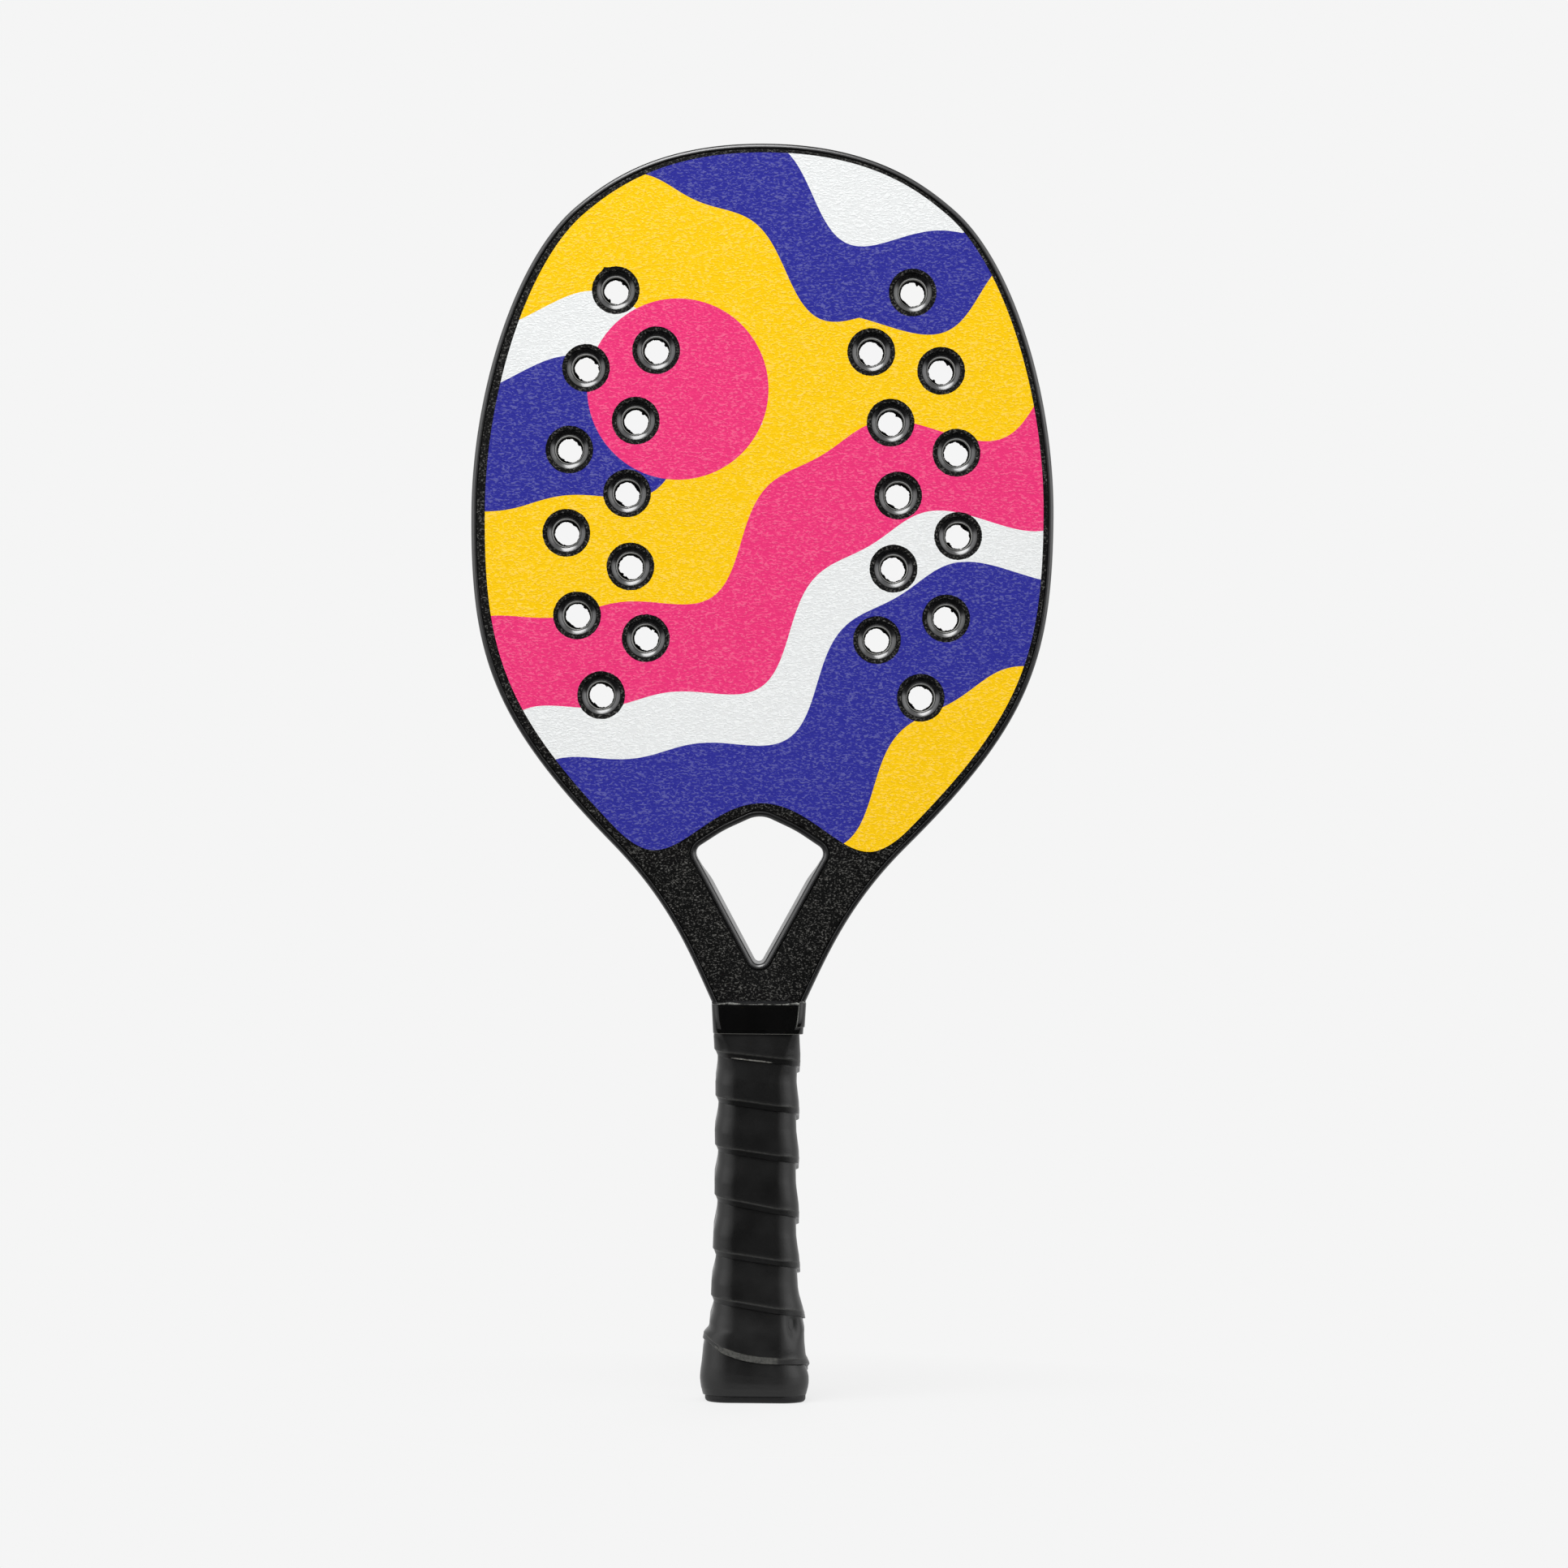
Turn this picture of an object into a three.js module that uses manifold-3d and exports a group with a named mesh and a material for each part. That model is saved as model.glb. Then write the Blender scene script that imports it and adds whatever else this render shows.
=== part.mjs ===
// Beach tennis racket, standing on its butt with its front face towards -Y.
// Millimetres, +Z up. The origin is the centre of the butt's flat base.

import * as THREE from 'three';
import { mergeVertices } from 'three/addons/utils/BufferGeometryUtils.js';
import Module from 'manifold-3d';

const wasm = await Module();
wasm.setup();

// Clearances and overruns
const clearance = 0.3;
const tapeBedClearance = 0.45;
const overrun = 5;
const weldDistance = 0.001;

// Head outline, from the top of the grip up one side to the crown: each rise is above the last,
// and together they make the overall length of 500
const gripTopHeight = 160.2;
const flankRise = 60.8;
const flankHalfWidth = 58.5;
const widestRise = 131.6;
const headHalfWidth = 115.8;
const browRise = 121.7;
const browHalfWidth = 75.2;
const crownRise = 25.7;

// Headings of the outline at its joints, in degrees outwards from straight down
const browHeading = 49.6;
const flankHeading = -44.8;
const neckHeading = -24.6;

// Handle lengths of each outline curve, as shares of its chord
const crownCurveShares = [0.533, 0.205];
const browCurveShares = [0.252, 0.36];
const sideCurveShares = [0.399, 0.478];
const throatCurveShares = [0.429, 0.294];

// Thickness of the head and of what it is layered from
const headThickness = 22;
const filmThickness = 0.15;
const laminateThickness = 1;
const rimWidth = 2;
const rimDepth = 3;
const hoopWidth = 9;
const wallThickness = 2;

// Shaft inside the handle, wider at both ends, the step from it out to the neck of the throat,
// and the face laminate's tail over its top end
const shaftHalfWidth = 14;
const neckFlare = 1.7;
const neckStep = 3.6;
const neckEndDrop = 32.2;
const buttFlare = 1.4;
const flareLength = 49;
const flareClearOfCap = 14.5;
const tailInset = 3.7;
const tailDrop = 8.2;

// Throat window, as straight runs between rounded corners
const windowTipRise = 10.8;
const windowHalfWidth = 27.3;
const windowFlankDrop = 2.6;
const windowBrowInset = 12.8;
const windowBrowRise = 9;
const windowCrownRise = 6.1;
const windowCrownRadius = 11;
const windowBrowRadius = 50;
const windowCornerRadius = 4.5;
const windowTipRadius = 3;

// Throat bridge: its seams start inside the window's corners and end inside the core's pocket
const seamInset = 2.9;
const seamDrop = 3.5;
const seamPocketReach = 5;
const seamPocketRise = 3.5;
const seamTopRise = 9;

// Lower edges of the foam core and of the printed film: an arch over the throat window, and lobes
// inside the flanks
const coreEdge = { archRise: 7.5, lobeInset: 17.5, lobeRise: 8.1, joinRise: 9.5 };
const filmEdge = { archRise: 4.3, lobeInset: 15.8, lobeRise: 0.4, joinRise: 7.2 };
const floorReachShares = [0.42, 0.3];
const filmSideInset = 4.85;
const filmCrownInset = 3.7;
const frontFilmShift = 0.7;

// Air holes, eleven a side on two arcs about one centre
const holeEdgeDistance = 37.7;
const holeArcRise = 2.9;
const holeArcRadius = 201;
const holeRowSpacing = 24.2;
const holeMiddleAngle = 1.6;
const holeStepAngle = 9.44;
const holeRows = [
  { row: 'outer', count: 6, radius: holeArcRadius },
  { row: 'inner', count: 5, radius: holeArcRadius - holeRowSpacing },
];
const boreRadius = 5.45;
const lipReach = 1.7;
const lipDepth = 2.6;
const linerWall = 1;
const printRingWidth = 2.35;

// Handle pads and butt cap
const palletThickness = 2.4;
const palletTaperLength = 22.2;
const palletTipShare = 0.35;
const palletTopDrop = 1;
const capFlangeHeight = 3.9;
const capFlangeReach = 1;
const capFlangeBevel = 0.8;
const capSkirtLength = 17.6;
const capWall = 2.7;

// Grip tape, a strip wound down the handle in overlapping turns
const tapePitch = 19.3;
const tapeTurnGap = 0.5;
const tapeEdgeThickness = 1.5;
const tapeThickness = 2.1;
const tapeTopThickness = 0.8;
const tapeSkive = 2.3;
const tapeTopTaper = 3.5;
const tapeTopDrop = 0.7;
const tapeFrontEdgeDrop = 24.9;

// Places on the strip's inner side, and the ramp from the handle out to the cap's skirt, as
// shares of the strip's width
const tapeInnerShares = [0.333, 0.667];
const capRampShares = [0.333, 0.5];

// Finishing tape, a band whose outer end overlaps its start
const bandWidth = 11.7;
const bandTopDrop = 2.2;
const bandThickness = 0.35;
const bandRise = 0.8;
const bandStartStation = 1;
const bandStations = 28;

// Smoothness
const outlineSteps = 9;
const floorSteps = 4;
const holeCurveSteps = 5;
const cornerCurveSteps = 2;
const rimSteps = 2;
const lipSteps = 2;
const ringCornerSteps = 4;

// Heights up the racket
const flankHeight = gripTopHeight + flankRise;
const widestHeight = flankHeight + widestRise;
const browHeight = widestHeight + browRise;
const crownHeight = browHeight + crownRise;
const windowTipHeight = gripTopHeight + windowTipRise;
const windowWidestHeight = flankHeight - windowFlankDrop;
const windowBrowHeight = windowWidestHeight + windowBrowRise;
const windowCrownHeight = windowBrowHeight + windowCrownRise;
const neckEndHeight = gripTopHeight - neckEndDrop;
const palletShoulderHeight = gripTopHeight - palletTaperLength;
const palletTopHeight = gripTopHeight - palletTopDrop;
const capSkirtHeight = capFlangeHeight + capSkirtLength;
const flareEndHeight = capSkirtHeight + flareClearOfCap;
const flareTopHeight = flareEndHeight + flareLength;
const bandLowHeight = gripTopHeight - bandTopDrop - bandWidth;

// Half widths of the window's brow and of the shaft, and radii of the air holes
const windowBrowHalfWidth = windowHalfWidth - windowBrowInset;
const shaftNeckHalfWidth = shaftHalfWidth + neckFlare;
const neckHalfWidth = shaftNeckHalfWidth + neckStep;
const shaftButtHalfWidth = shaftHalfWidth + buttFlare;
const lipRadius = boreRadius + lipReach;
const printRingRadius = lipRadius + printRingWidth;

// Levels through the thickness, from the middle plane out
const filmLevel = headThickness / 2;
const faceLevel = filmLevel - filmThickness;
const coreLevel = faceLevel - laminateThickness;
const palletLevel = faceLevel + palletThickness;
const cornerCentreLevel = faceLevel - rimDepth;

const quarterTurn = Math.PI / 2;
const fullTurn = Math.PI * 2;
const radians = THREE.MathUtils.degToRad;
const { clamp, lerp } = THREE.MathUtils;

const finishes = {
  rim: { color: 0x2b2b2c, roughness: 0.42, metalness: 0 },
  texturedCoat: { color: 0x161616, roughness: 0.7, metalness: 0 },
  print: { color: 0xffcc00, roughness: 0.5, metalness: 0 },
  backPrint: { color: 0x2d2e97, roughness: 0.5, metalness: 0 },
  liner: { color: 0x101011, roughness: 0.28, metalness: 0 },
  foam: { color: 0x303236, roughness: 0.95, metalness: 0 },
  pad: { color: 0x8a8678, roughness: 0.9, metalness: 0 },
  grip: { color: 0x232324, roughness: 0.62, metalness: 0 },
  band: { color: 0x0c0c0d, roughness: 0.25, metalness: 0 },
  cap: { color: 0x19191a, roughness: 0.45, metalness: 0 },
};

const racket = new THREE.Group();
racket.name = 'beach_tennis_racket';

function addPart(name, geometry, finish) {
  const mesh = new THREE.Mesh(geometry, new THREE.MeshStandardMaterial(finish));
  mesh.name = name;
  racket.add(mesh);
  return mesh;
}

// Conversions between three.js geometry and solids that can be cut

function solidOf(geometry) {
  const bare = geometry.clone();
  bare.deleteAttribute('normal');
  bare.deleteAttribute('uv');
  const welded = mergeVertices(bare, weldDistance);
  const vertProperties = welded.attributes.position.array;
  const triVerts = new Uint32Array(welded.index.array);
  return new wasm.Manifold(new wasm.Mesh({ numProp: 3, vertProperties, triVerts }));
}

function geometryOf(solid) {
  const { vertProperties, triVerts } = solid.getMesh();
  const geometry = new THREE.BufferGeometry();
  geometry.setAttribute('position', new THREE.BufferAttribute(vertProperties, 3));
  geometry.setIndex(new THREE.BufferAttribute(triVerts, 1));
  geometry.computeVertexNormals();
  return geometry;
}

// Outlines in the plane of the face, as points whose x is X and whose y is Z

const point = (x, z) => new THREE.Vector2(x, z);

function headingVector(degrees) {
  return point(Math.sin(radians(degrees)), -Math.cos(radians(degrees)));
}

// The right half of the silhouette from the crown to the grip, moved in by an inset that may
// differ at the crown
function sidePath(inset, crownInset = inset) {
  const joints = [
    { place: point(0, crownHeight), heading: 90 },
    { place: point(browHalfWidth, browHeight), heading: browHeading },
    { place: point(headHalfWidth, widestHeight), heading: 0 },
    { place: point(flankHalfWidth, flankHeight), heading: flankHeading },
    { place: point(neckHalfWidth, gripTopHeight), heading: neckHeading },
  ];
  const shares = [crownCurveShares, browCurveShares, sideCurveShares, throatCurveShares];
  const path = [];
  shares.forEach(([leaveShare, arriveShare], index) => {
    const start = joints[index];
    const end = joints[index + 1];
    const chord = start.place.distanceTo(end.place);
    const leave = headingVector(start.heading).multiplyScalar(leaveShare * chord);
    const arrive = headingVector(end.heading).multiplyScalar(-arriveShare * chord);
    const curve = new THREE.CubicBezierCurve(
      start.place,
      leave.add(start.place),
      arrive.add(end.place),
      end.place,
    );
    for (let step = index === 0 ? 0 : 1; step <= outlineSteps; step += 1) {
      const along = curve.getPoint(step / outlineSteps);
      const tangent = curve.getTangent(step / outlineSteps);
      const localInset = lerp(inset, crownInset, Math.max(0, tangent.x));
      path.push(point(along.x + localInset * tangent.y, along.y - localInset * tangent.x));
    }
  });
  path[0].x = 0;
  return path;
}

// A whole outline from its right half, with points on the centre line kept once
function mirrored(half) {
  const left = half.filter((place) => place.x > weldDistance).reverse();
  return [...half, ...left.map((place) => point(-place.x, place.y))];
}

// The shaft's half widths down the handle
const shaftProfile = [
  point(shaftNeckHalfWidth, gripTopHeight),
  point(shaftHalfWidth, neckEndHeight),
  point(shaftHalfWidth, flareTopHeight),
  point(shaftButtHalfWidth, flareEndHeight),
  point(shaftButtHalfWidth, capFlangeHeight),
];

function shaftHalfWidthAt(height) {
  const lower = shaftProfile.findIndex((place, index) => index > 0 && place.y <= height);
  if (lower === -1) return shaftButtHalfWidth;
  const top = shaftProfile[lower - 1];
  const low = shaftProfile[lower];
  const share = clamp((height - low.y) / (top.y - low.y), 0, 1);
  return lerp(low.x, top.x, share);
}

// The face inside the rim, with a tail that runs down under the grip
function facePlan(inset) {
  const tailHalfWidth = shaftNeckHalfWidth - tailInset + rimWidth - inset;
  const path = sidePath(inset);
  const shoulder = path[path.length - 1];
  const tailHeight = gripTopHeight - tailDrop + inset - rimWidth;
  return mirrored([
    ...path,
    point(tailHalfWidth, shoulder.y),
    point(tailHalfWidth, tailHeight),
  ]);
}

function floorOf({ archRise, lobeInset, lobeRise, joinRise }) {
  const lobe = windowWidestHeight + lobeRise;
  return {
    crown: windowCrownHeight + archRise,
    lobeHalfWidth: flankHalfWidth - lobeInset,
    lobe,
    join: lobe + joinRise,
  };
}

const coreFloor = floorOf(coreEdge);
const filmFloor = floorOf(filmEdge);

// The part of the head above the throat window: down the flank, round a lobe and up to an arch
function headPlan(floor, inset, crownInset = inset) {
  const side = sidePath(inset, crownInset).filter((place) => place.y > floor.join);
  const last = side[side.length - 1];
  const slope = last.clone().sub(side[side.length - 2]);
  const reach = (floor.lobe - last.y) / slope.y;
  const lobe = point(floor.lobeHalfWidth, floor.lobe);
  const turn = new THREE.QuadraticBezierCurve(last, slope.multiplyScalar(reach).add(last), lobe);
  const [crownShare, lobeShare] = floorReachShares;
  const arch = new THREE.CubicBezierCurve(
    lobe,
    point(floor.lobeHalfWidth * (1 - lobeShare), floor.lobe),
    point(floor.lobeHalfWidth * crownShare, floor.crown),
    point(0, floor.crown),
  );
  return mirrored([
    ...side,
    ...turn.getPoints(floorSteps).slice(1),
    ...arch.getPoints(floorSteps).slice(1),
  ]);
}

// A closed path of straight runs, whose corners are arcs of their own radii
function filleted(corners) {
  const path = new THREE.Path();
  corners.forEach(({ place, radius }, index) => {
    const before = corners[(index + corners.length - 1) % corners.length].place;
    const after = corners[(index + 1) % corners.length].place;
    const back = before.clone().sub(place).normalize();
    const ahead = after.clone().sub(place).normalize();
    const halfAngle = Math.acos(clamp(back.dot(ahead), -1, 1)) / 2;
    const middle = back.clone().add(ahead).normalize();
    const centre = middle.multiplyScalar(radius / Math.sin(halfAngle)).add(place);
    const tangentReach = radius / Math.tan(halfAngle);
    const arrive = back.multiplyScalar(tangentReach).add(place);
    const leave = ahead.multiplyScalar(tangentReach).add(place);
    const startAngle = arrive.sub(centre).angle();
    const endAngle = leave.sub(centre).angle();
    path.absarc(centre.x, centre.y, radius, startAngle, endAngle, true);
  });
  const points = path.getPoints(cornerCurveSteps);
  return points.filter((place, index) => {
    const next = points[(index + 1) % points.length];
    return place.distanceTo(next) > weldDistance;
  });
}

// A closed clockwise outline moved outwards
function grown(outline, distance) {
  return outline.map((place, index) => {
    const before = outline[(index + outline.length - 1) % outline.length];
    const after = outline[(index + 1) % outline.length];
    const arriving = place.clone().sub(before).normalize();
    const leaving = after.clone().sub(place).normalize();
    const tangent = arriving.clone().add(leaving).normalize();
    const stretch = distance / tangent.dot(leaving);
    return point(place.x - tangent.y * stretch, place.y + tangent.x * stretch);
  });
}

const windowOutline = filleted([
  { place: point(0, windowCrownHeight), radius: windowCrownRadius },
  { place: point(windowBrowHalfWidth, windowBrowHeight), radius: windowBrowRadius },
  { place: point(windowHalfWidth, windowWidestHeight), radius: windowCornerRadius },
  { place: point(0, windowTipHeight), radius: windowTipRadius },
  { place: point(-windowHalfWidth, windowWidestHeight), radius: windowCornerRadius },
  { place: point(-windowBrowHalfWidth, windowBrowHeight), radius: windowBrowRadius },
]);

// The bridge's share of the frame, above its two seams
const seamInner = point(windowHalfWidth - seamInset, windowWidestHeight - seamDrop);
const seamOuter = point(coreFloor.lobeHalfWidth + seamPocketReach, coreFloor.lobe + seamPocketRise);
const seamTop = point(seamOuter.x, coreFloor.crown + seamTopRise);
const bridgeOutline = [
  point(-seamInner.x, seamInner.y),
  point(-seamOuter.x, seamOuter.y),
  point(-seamTop.x, seamTop.y),
  seamTop,
  seamOuter,
  seamInner,
];

// Centres of the air holes, with the names of their liners
const airHoles = [];
const holeArcReach = holeArcRadius - (headHalfWidth - holeEdgeDistance);
[['left', -1], ['right', 1]].forEach(([side, sign]) => {
  holeRows.forEach(({ row, count, radius }) => {
    for (let hole = 0; hole < count; hole += 1) {
      const steps = (count - 1) / 2 - hole;
      const angle = radians(holeMiddleAngle + steps * holeStepAngle);
      const x = sign * (radius * Math.cos(angle) - holeArcReach);
      const z = widestHeight + holeArcRise + radius * Math.sin(angle);
      airHoles.push({ name: `hole_liner_${side}_${row}_${hole + 1}`, x, z });
    }
  });
});

// A shape from a clockwise outline; its holes are clockwise too
function shapeOf(outline, holes = []) {
  const shape = new THREE.Shape([...outline].reverse());
  shape.holes.push(...holes);
  return shape;
}

function holesOfRadius(radius) {
  return airHoles.map(({ x, z }) => new THREE.Path().absarc(x, z, radius, 0, fullTurn, true));
}

// A rounded rectangle about the handle's axis, whose corner arcs keep one centre height
function roundedOutline(halfWidth, halfDepth) {
  const radius = halfDepth - cornerCentreLevel;
  const x = halfWidth - radius;
  const y = cornerCentreLevel;
  const shape = new THREE.Shape();
  shape.absarc(x, y, radius, 0, quarterTurn);
  shape.absarc(-x, y, radius, quarterTurn, 2 * quarterTurn);
  shape.absarc(-x, -y, radius, 2 * quarterTurn, 3 * quarterTurn);
  shape.absarc(x, -y, radius, 3 * quarterTurn, fullTurn);
  return shape;
}

// A plate in the plane of the face, between two levels of Y
function plate(shape, lowLevel, highLevel) {
  const unit = new THREE.ExtrudeGeometry(shape, {
    depth: 1,
    bevelEnabled: false,
    curveSegments: holeCurveSteps,
  });
  const span = highLevel - lowLevel;
  const stand = new THREE.Matrix4().set(1, 0, 0, 0, 0, 0, -span, highLevel, 0, 1, 0, 0, 0, 0, 0, 1);
  return unit.applyMatrix4(stand);
}

// A column along Z between two heights
function column(shape, lowHeight, highHeight) {
  const unit = new THREE.ExtrudeGeometry(shape, {
    depth: 1,
    bevelEnabled: false,
    curveSegments: cornerCurveSteps,
  });
  const span = highHeight - lowHeight;
  const raise = new THREE.Matrix4().set(1, 0, 0, 0, 0, 1, 0, 0, 0, 0, span, lowHeight, 0, 0, 0, 1);
  return unit.applyMatrix4(raise);
}

// The moulded frame before it is split: rounded rims, the core pocket and a rebate on each face

function frameBlank() {
  const silhouette = mirrored([...sidePath(0), ...shaftProfile]);
  const straightDepth = 2 * (faceLevel - rimDepth);
  const blank = new THREE.ExtrudeGeometry(shapeOf(silhouette, [new THREE.Path(windowOutline)]), {
    depth: straightDepth,
    bevelThickness: rimDepth,
    bevelSize: rimWidth,
    bevelOffset: -rimWidth,
    bevelSegments: rimSteps,
    curveSegments: cornerCurveSteps,
  });
  blank.translate(0, 0, -straightDepth / 2);
  blank.rotateX(quarterTurn);
  return solidOf(blank);
}

function frameBody() {
  const through = faceLevel + overrun;
  const pocket = solidOf(plate(shapeOf(headPlan(coreFloor, hoopWidth)), -through, through));
  const windowRim = new THREE.Path(grown(windowOutline, rimWidth));
  const rebate = shapeOf(facePlan(rimWidth), [windowRim]);
  const frontRebate = solidOf(plate(rebate, -through, -coreLevel));
  const backRebate = solidOf(plate(rebate, coreLevel, through));
  return frameBlank().subtract(pocket).subtract(frontRebate).subtract(backRebate);
}

function bridgeBlock(growth) {
  const through = faceLevel + overrun;
  return solidOf(plate(shapeOf(grown(bridgeOutline, growth)), -through, through));
}

// The channel that runs round the hoop, down both arms and out of the shaft's end
function hoopChannel() {
  const ceiling = coreLevel - wallThickness;
  const path = sidePath(wallThickness);
  const stepDrop = neckHalfWidth - shaftNeckHalfWidth;
  const upper = path.filter((place) => place.y > gripTopHeight + stepDrop);
  const lower = shaftProfile.map((place) => point(place.x - wallThickness, place.y));
  lower[lower.length - 1].y -= overrun;
  const channel = solidOf(plate(shapeOf(mirrored([...upper, ...lower])), -ceiling, ceiling));
  const reach = ceiling + overrun;
  const core = headPlan(coreFloor, hoopWidth);
  const coreWall = solidOf(plate(shapeOf(grown(core, wallThickness)), -reach, reach));
  const windowWall = solidOf(plate(shapeOf(grown(windowOutline, wallThickness)), -reach, reach));
  const seamWall = bridgeBlock(clearance + wallThickness);
  return channel.subtract(coreWall).subtract(windowWall).subtract(seamWall);
}

function buildFrame() {
  const body = frameBody();
  const hoop = body.subtract(bridgeBlock(clearance)).subtract(hoopChannel());
  const bridge = body.intersect(bridgeBlock(0));
  addPart('hoop_frame', geometryOf(hoop), finishes.rim);
  addPart('throat_bridge', geometryOf(bridge), finishes.rim);
}

// The sandwich inside the frame: core, face laminates and printed films

function buildSandwich() {
  const coreShape = shapeOf(
    headPlan(coreFloor, hoopWidth + clearance),
    holesOfRadius(boreRadius + linerWall + clearance),
  );
  addPart('foam_core', plate(coreShape, -coreLevel, coreLevel), finishes.foam);
  const windowRim = new THREE.Path(grown(windowOutline, rimWidth + clearance));
  const faceShape = shapeOf(facePlan(rimWidth + clearance), [
    windowRim,
    ...holesOfRadius(lipRadius + clearance),
  ]);
  const filmShape = shapeOf(
    headPlan(filmFloor, filmSideInset, filmCrownInset),
    holesOfRadius(printRingRadius),
  );
  const { texturedCoat, print, backPrint } = finishes;
  addPart('front_face_laminate', plate(faceShape, -faceLevel, -coreLevel), texturedCoat);
  addPart('back_face_laminate', plate(faceShape, coreLevel, faceLevel), texturedCoat);
  const frontFilm = plate(filmShape, -filmLevel, -faceLevel).translate(frontFilmShift, 0, 0);
  addPart('front_printed_film', frontFilm, print);
  addPart('back_printed_film', plate(filmShape, faceLevel, filmLevel), backPrint);
}

// Hole liners: a sleeve with a rounded lip at each face, turned about its own axis

function linerProfile() {
  const half = [];
  for (let step = 0; step <= lipSteps; step += 1) {
    const angle = (step / lipSteps) * quarterTurn;
    const radius = lipRadius - (lipRadius - boreRadius) * Math.cos(angle);
    half.push(point(radius, faceLevel - lipDepth * (1 - Math.sin(angle))));
  }
  half.push(point(lipRadius, coreLevel));
  half.push(point(boreRadius + linerWall, coreLevel));
  const other = half.map((place) => point(place.x, -place.y)).reverse();
  return [...other, ...half].reverse();
}

function buildHoleLiners() {
  const profile = linerProfile();
  const closed = [...profile, profile[0].clone()];
  const geometry = new THREE.LatheGeometry(closed, 2 * holeCurveSteps, quarterTurn);
  airHoles.forEach(({ name, x, z }) => {
    const liner = addPart(name, geometry, finishes.liner);
    liner.position.set(x, 0, z);
  });
}

// Handle pads: a rounded slab on each flat of the shaft, thinned towards the grip's top

function buildPallets() {
  const cornerRadius = palletLevel - cornerCentreLevel;
  const flatHalfWidth = shaftHalfWidth - cornerRadius;
  const riseAngle = Math.asin((faceLevel - cornerCentreLevel) / cornerRadius);
  const section = new THREE.Shape();
  section.absarc(flatHalfWidth, cornerCentreLevel, cornerRadius, riseAngle, quarterTurn);
  const farAngle = 2 * quarterTurn - riseAngle;
  section.absarc(-flatHalfWidth, cornerCentreLevel, cornerRadius, quarterTurn, farAngle);
  const slab = solidOf(column(section, capFlangeHeight, palletTopHeight));
  const tipLevel = faceLevel + palletThickness * palletTipShare;
  const slope = (palletLevel - tipLevel) / (gripTopHeight - palletShoulderHeight);
  const wedge = new THREE.Shape([
    point(palletLevel, palletShoulderHeight),
    point(palletLevel + overrun, palletShoulderHeight),
    point(palletLevel + overrun, gripTopHeight + overrun),
    point(tipLevel - slope * overrun, gripTopHeight + overrun),
  ]);
  const wedgeWidth = 2 * (shaftHalfWidth + overrun);
  const cutter = new THREE.ExtrudeGeometry(wedge, { depth: wedgeWidth, bevelEnabled: false });
  cutter.translate(0, 0, -wedgeWidth / 2);
  const basis = new THREE.Matrix4();
  basis.makeBasis(new THREE.Vector3(0, 1, 0), new THREE.Vector3(0, 0, 1), new THREE.Vector3(1, 0, 0));
  cutter.applyMatrix4(basis);
  const back = geometryOf(slab.subtract(solidOf(cutter)));
  addPart('handle_pallet_back', back, finishes.pad);
  const front = back.clone().rotateZ(2 * quarterTurn);
  addPart('handle_pallet_front', front, finishes.pad);
}

// Butt cap: a flat flange to stand on and a skirt round the end of the handle

const capHalfWidth = shaftButtHalfWidth + clearance + capWall;
const capHalfDepth = palletLevel + clearance + capWall;

function buildButtCap() {
  const foot = capFlangeReach - capFlangeBevel;
  const base = roundedOutline(capHalfWidth + foot, capHalfDepth + foot);
  const flange = new THREE.ExtrudeGeometry(base, {
    depth: capFlangeHeight - 2 * capFlangeBevel,
    bevelThickness: capFlangeBevel,
    bevelSize: capFlangeBevel,
    bevelSegments: 1,
    curveSegments: cornerCurveSteps,
  });
  flange.translate(0, 0, capFlangeBevel);
  const skirtBottom = capFlangeHeight - capFlangeBevel;
  const skirt = solidOf(column(roundedOutline(capHalfWidth, capHalfDepth), skirtBottom, capSkirtHeight));
  const socket = roundedOutline(capHalfWidth - capWall, capHalfDepth - capWall);
  const hollow = solidOf(column(socket, capFlangeHeight, capSkirtHeight + overrun));
  const cap = solidOf(flange).add(skirt).subtract(hollow);
  addPart('butt_cap', geometryOf(cap), finishes.cap);
}

// Stations round a rounded rectangle, from the middle of the front towards +X: each has the
// corner or side that it belongs to and the direction that it faces

const ringStations = [];
for (let quarter = 0; quarter < 4; quarter += 1) {
  const side = (quarter - 1) * quarterTurn;
  const sideX = Math.round(Math.cos(side));
  const sideY = Math.round(Math.sin(side));
  ringStations.push({ x: sideX, y: sideY, angle: side });
  const nextX = Math.round(Math.cos(side + quarterTurn));
  const nextY = Math.round(Math.sin(side + quarterTurn));
  for (let step = 0; step <= ringCornerSteps; step += 1) {
    const angle = side + (step / ringCornerSteps) * quarterTurn;
    ringStations.push({ x: sideX + nextX, y: sideY + nextY, angle });
  }
}

function ringPoint(station, bed, offset) {
  const { x, y, angle } = ringStations[station % ringStations.length];
  const radius = bed.halfDepth - cornerCentreLevel;
  return point(
    x * (bed.halfWidth - radius) + Math.cos(angle) * (radius + offset),
    y * cornerCentreLevel + Math.sin(angle) * (radius + offset),
  );
}

const tapeWidth = tapePitch - tapeTurnGap;
const [capRampBottom, capRampTop] = capRampShares.map((share) => capSkirtHeight + tapeWidth * share);

// The surface that the tapes lie on, at a height: the pads, the flared shaft and the cap's skirt
function tapeBed(height) {
  const taper = clamp((height - palletShoulderHeight) / (gripTopHeight - palletShoulderHeight), 0, 1);
  const padShare = lerp(1, palletTipShare, taper);
  const onCap = clamp((capRampTop - height) / (capRampTop - capRampBottom), 0, 1);
  const handleHalfDepth = faceLevel + palletThickness * padShare;
  return {
    halfWidth: lerp(shaftHalfWidthAt(height), capHalfWidth, onCap) + tapeBedClearance,
    halfDepth: lerp(handleHalfDepth, capHalfDepth, onCap) + tapeBedClearance,
  };
}

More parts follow.
